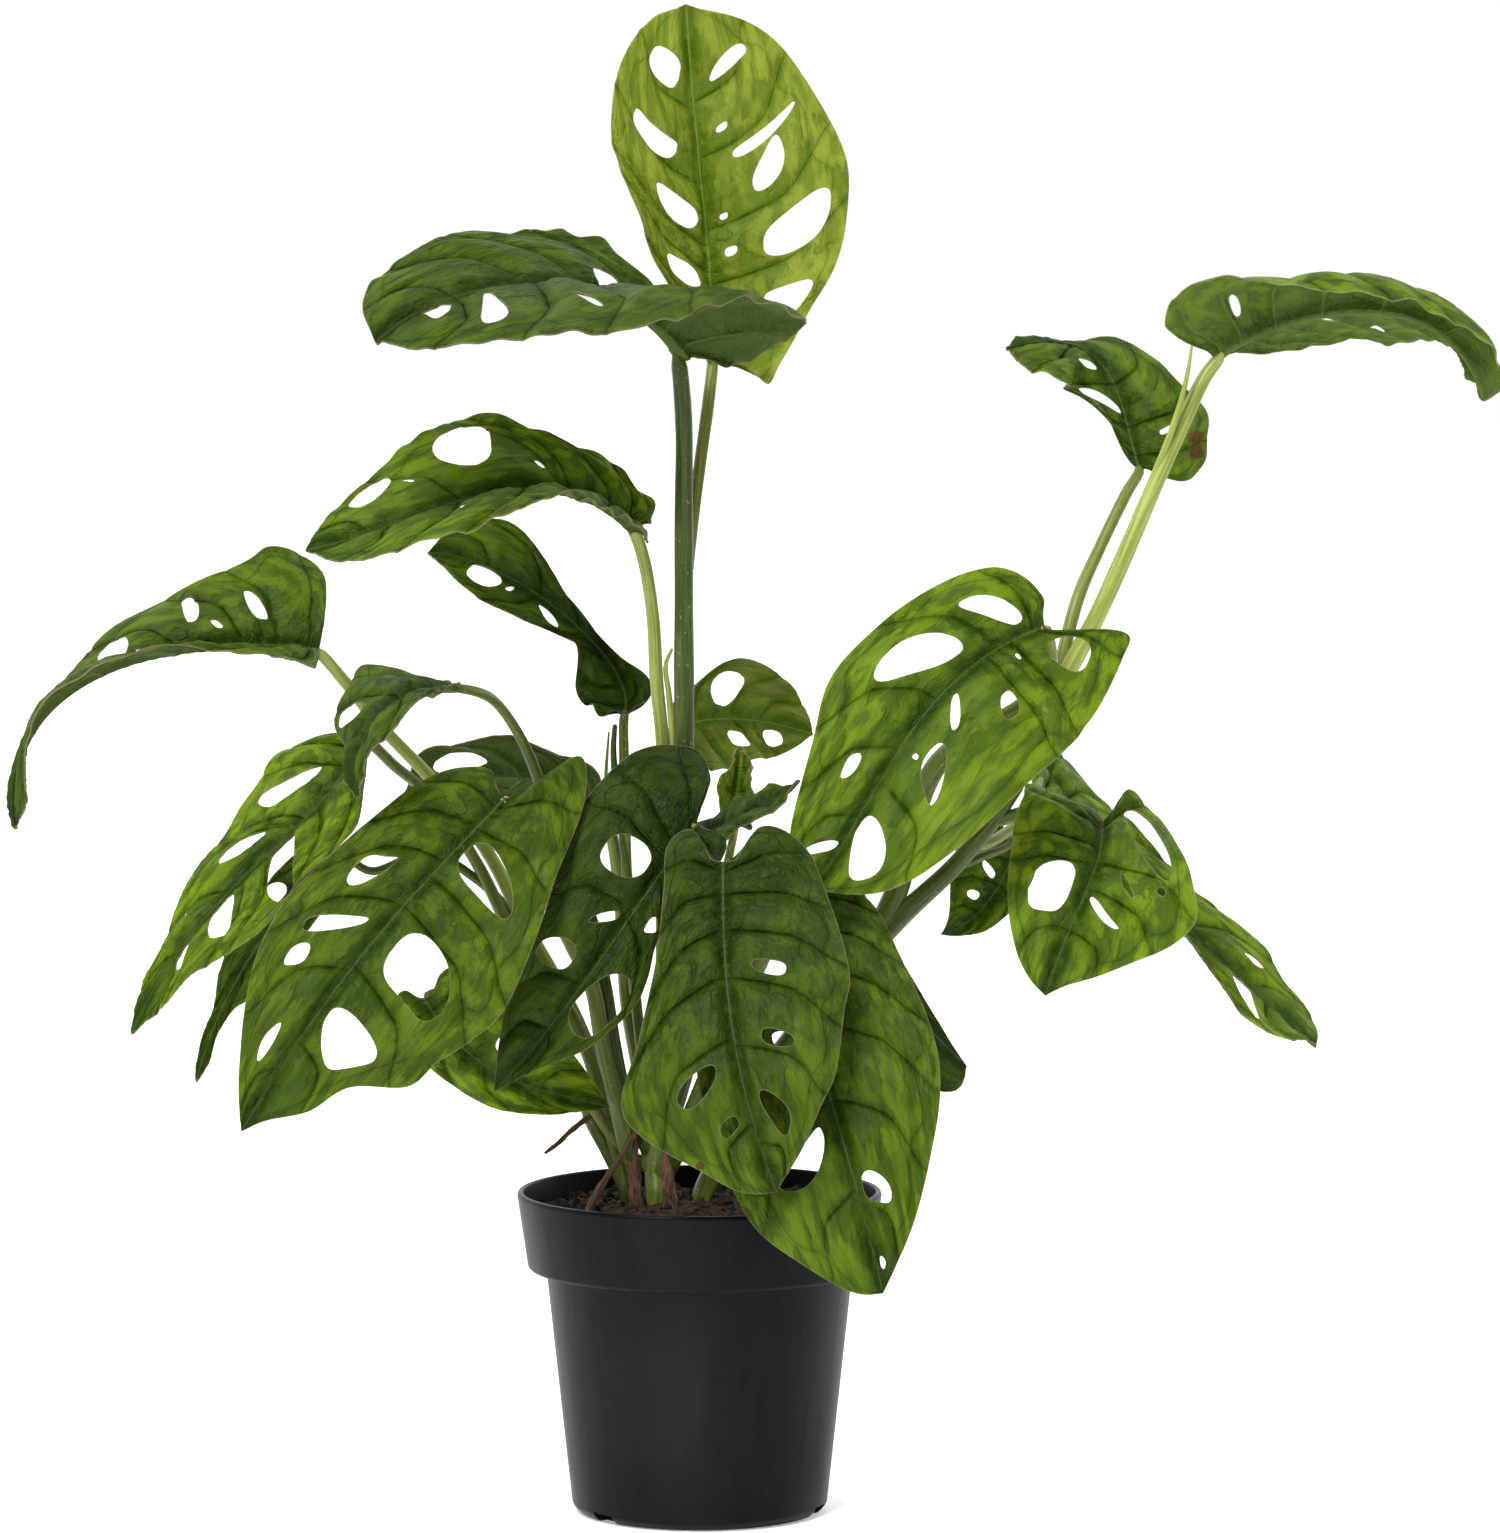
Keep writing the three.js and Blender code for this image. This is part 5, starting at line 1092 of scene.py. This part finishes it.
def rounded(outline, radius):
    """Outline with every corner turned into a short quadratic curve that starts and ends radius away."""
    outline = np.array(outline, float)
    before, after = (np.roll(outline, by, axis=0) - outline for by in (1, -1))
    shortest = np.minimum(np.linalg.norm(before, axis=1), np.linalg.norm(after, axis=1))
    reach = np.minimum(radius, 0.45 * shortest) * (outline[:, 0] > 0)
    u = np.linspace(0, 1, 5)[None, :, None]
    before, after = (unit(way)[:, None] * reach[:, None, None] for way in (before, after))
    curve = outline[:, None] + before * (1 - u)**2 + after * u**2
    flat = curve.reshape(-1, 2)
    return flat[np.append(True, np.linalg.norm(np.diff(flat, axis=0), axis=1) > 1e-6)]


def turned(outline, sides):
    """Solid of revolution: each [radius, height] of a closed outline carried round the Z axis. Points on
    the axis are shared by all sides."""
    angle = TURN * np.arange(sides) / sides
    radius, height = np.repeat(outline, sides, axis=0).T
    angle = np.tile(angle, len(outline))
    points = np.stack([radius * np.cos(angle), radius * np.sin(angle), height], -1)
    first, joined = welded(points, 5)
    quads = joined[strips(len(outline), sides, ends=False)]
    triangles = []
    whole = np.ones(len(quads), bool)
    for k in range(4):
        same = quads[:, k] == quads[:, (k + 1) % 4]
        whole &= ~same
        triangles.append(quads[same][:, [(k + 1) % 4, (k + 2) % 4, (k + 3) % 4]])
    return points[first], quads[whole], open_triangles(np.vstack(triangles))


def build_pot(finish):
    """The pot: a rounded outline turned about its axis, with slots through the bottom edge and drain holes
    through the floor."""
    wall_top = POT_HEIGHT - BAND_HEIGHT
    outline = rounded([
        (0, 0), (BASE_RADIUS - BASE_CORNER, 0), (BASE_RADIUS, BASE_CORNER), (NECK_RADIUS, wall_top),
        (BAND_LOW_RADIUS - 1, wall_top), (BAND_LOW_RADIUS, wall_top + 1), (RIM_RADIUS, POT_HEIGHT - 1),
        (RIM_RADIUS - 0.5, POT_HEIGHT), (RIM_RADIUS - LIP_WIDTH, POT_HEIGHT),
        (BAND_LOW_RADIUS - POT_WALL, wall_top + POT_WALL), (NECK_RADIUS - POT_WALL, wall_top + POT_WALL),
        (FLOOR_RADIUS, FLOOR), (0, FLOOR),
    ], POT_ROUNDING)
    points, quads, triangles = turned(outline, POT_SIDES)
    pot = make_piece("pot_shell", points, [quads, triangles], finish, node="pot", slot="pot",
                     sharp=POT_SHARP)

    cutters = []
    corners = np.array([(x, y, z) for x in (BASE_RADIUS - 6, BASE_RADIUS + 10)
                        for y in (-NOTCH_WIDTH / 2, NOTCH_WIDTH / 2) for z in (-NOTCH_HEIGHT, NOTCH_HEIGHT)])
    sides = np.array([(0, 1, 3, 2), (4, 6, 7, 5), (0, 4, 5, 1), (2, 3, 7, 6), (0, 2, 6, 4), (1, 5, 7, 3)])
    for angle in map(math.radians, NOTCH_ANGLES):
        c, s = math.cos(angle), math.sin(angle)
        spin = np.array([[c, s, 0], [-s, c, 0], [0, 0, 1]])
        cutters.append((corners @ spin, sides, np.zeros((0, 3), int), {}))
    plug = np.array([(0, -3), (DRAIN_RADIUS, -3), (DRAIN_RADIUS, 5), (0, 5)], float)
    points, quads, triangles = turned(plug, DRAIN_SIDES)
    for angle in map(math.radians, range(30, 390, 60)):
        place = DRAIN_CIRCLE * np.array([math.cos(angle), math.sin(angle), 0])
        cutters.append((points + place, quads, triangles, {}))
    points, faces, _ = merged(cutters)
    cutter = make_piece("cutter", points, faces, finish)
    cut = pot.modifiers.new("slots", "BOOLEAN")
    cut.object = cutter
    cut.solver = "EXACT"
    shaped = bpy.data.meshes.new_from_object(pot.evaluated_get(bpy.context.evaluated_depsgraph_get()))
    pot.modifiers.clear()
    pot.data = shaped
    pot.data.set_sharp_from_angle(angle=math.radians(POT_SHARP))
    bpy.data.objects.remove(cutter)


def soil_height(x, y):
    """Height of the soil: a low hump in the middle plus uneven lumps of four sizes."""
    height = SOIL_LEVEL + SOIL_HUMP * (1 - smoothstep(np.hypot(x, y) / SOIL_REACH))
    for rise, wavelength, seed in SOIL_LUMPS:
        height = height + rise * wander(x, y, wavelength, seed)
    return height


def build_soil(finish, dry):
    """The soil: a lumpy top over a body that fills the pot, loose crumbs on it (balls with every point
    moved in or out at random, then stretched, turned and seated), and fibres."""
    step_up = POT_HEIGHT - BAND_HEIGHT + POT_WALL
    rise = (SOIL_LEVEL - step_up) / (POT_HEIGHT - step_up)
    low = BAND_LOW_RADIUS - POT_WALL
    edge = low + rise * (RIM_RADIUS - LIP_WIDTH - low) - SOIL_GAP
    top = np.stack([np.linspace(edge, 0, SOIL_RINGS), np.full(SOIL_RINGS, float(SOIL_LEVEL))], -1)
    outline = np.vstack([[(0, FLOOR + 0.3), (FLOOR_RADIUS - SOIL_GAP, FLOOR + 0.3),
                          (NECK_RADIUS - POT_WALL - SOIL_GAP, step_up + 0.3),
                          (low - SOIL_GAP, step_up + 0.3)], top])
    points, quads, triangles = turned(outline, SOIL_SIDES)
    crown = points[:, 2] > SOIL_LEVEL - 1
    points[crown, 2] = soil_height(points[crown, 0], points[crown, 1])
    make_piece("soil_bed", points, [quads, triangles], finish, node="soil", slot="soil", sharp=80)

    rng = np.random.default_rng(SOIL_SEED)
    polar = np.pi * (np.arange(CRUMB_LEVELS) + 0.5) / CRUMB_LEVELS
    angle = TURN * np.arange(CRUMB_SIDES) / CRUMB_SIDES
    ball = np.stack([np.sin(polar)[:, None] * np.cos(angle), np.sin(polar)[:, None] * np.sin(angle),
                     np.cos(polar)[:, None] * np.ones(CRUMB_SIDES)], -1).reshape(-1, 3)
    size = 0.5 + 1.7 * rng.random(CRUMBS)**3
    stretch = rng.uniform(0.6, 1.3, (CRUMBS, 1, 3))
    lumps = ball[None] * stretch * (1 + 0.22 * rng.standard_normal((CRUMBS, len(ball), 1)))
    spin = rng.uniform(0, TURN, CRUMBS)
    c, s = np.cos(spin)[:, None], np.sin(spin)[:, None]
    x, y, z = np.moveaxis(lumps, -1, 0)
    lumps = np.stack([x * c - y * s, x * s + y * c, z], -1)
    r, way = (edge - 2) * np.sqrt(rng.random(CRUMBS)), rng.uniform(0, TURN, CRUMBS)
    x, y = r * np.cos(way), r * np.sin(way)
    seat = np.stack([x, y, soil_height(x, y) + 0.25 * size], -1)
    lumps = lumps * size[:, None, None] + seat[:, None]
    tip = np.arange(CRUMB_SIDES)
    start = (np.arange(CRUMBS) * len(ball))[:, None, None]
    sides = (start + strips(CRUMB_LEVELS, CRUMB_SIDES)[:, [0, 3, 2, 1]]).reshape(-1, 4)
    caps = np.vstack([(start + tip)[:, 0], (start + len(ball) - 1 - tip)[:, 0]])
    make_piece("soil_crumbs", lumps.reshape(-1, 3), [sides, caps], finish, slot="soil", sharp=180)

    fibres = []
    for _ in range(FIBRES):
        r, way, turn = (edge - 6) * math.sqrt(rng.random()), rng.uniform(0, TURN), rng.uniform(0, math.pi)
        length = rng.uniform(4, 13)
        reach = np.linspace(-0.5, 0.5, 4) * length
        bow = rng.uniform(-0.15, 0.15) * length * np.array([0, 1, 1, 0])
        x = r * math.cos(way) + reach * math.cos(turn) - bow * math.sin(turn)
        y = r * math.sin(way) + reach * math.sin(turn) + bow * math.cos(turn)
        z = soil_height(x, y) + np.array([0, 0.7, 0.7, 0]) * rng.uniform(0.5, 2)
        fibres.append(tube(np.stack([x, y, z, np.full(4, rng.uniform(0.12, 0.3))], -1), sides=5, step=2))
    points, faces, values = merged(fibres)
    make_piece("soil_fibres", points, faces, dry, values, slot="soil")


# ---------------------------------------------------------------- the plant
# Of each leaf finish: blade, cloud, dark, rib, under, through, shade, rim. cloud is painted light: the light
# through thin tissue, painted into the upper skin.
LEAF_COLOURS = {
    "leathery_leaf": (
        "#38520a", "#76921a", "#1a3003", "#6f8436", "#55692c", "#c8d620", "#567608", "#96916a"),
    "young_leaf": (
        "#5c7614", "#8c9c3c", "#5a7214", "#a4b45a", "#728836", "#c8cc5c", "#7c951e", "#a08c60"),
}
LEAF_SEEDS = (31, 7)            # a leaf's seed is its number times the first plus the second


def build_plant():
    """Every piece of the plant and its pot, in the order in which the nodes are named above."""
    mature, young = (leaf_finish(name, *colours) for name, colours in LEAF_COLOURS.items())
    blades = {name: Blade(**leaf) for name, leaf in LEAVES.items()}
    for number, (name, blade) in enumerate(blades.items()):
        seed = LEAF_SEEDS[0] * number + LEAF_SEEDS[1]
        if blade.young:
            build_leaf(name, blade, young, "young_leaf", seed)
        else:
            build_leaf(name, blade, mature, "leaf", seed)
    dry = dry_finish()
    build_stems(blades, petiole_finish())
    build_remains(dry)
    build_pot(pot_finish())
    build_soil(soil_finish(), dry)


build_studio()
build_plant()
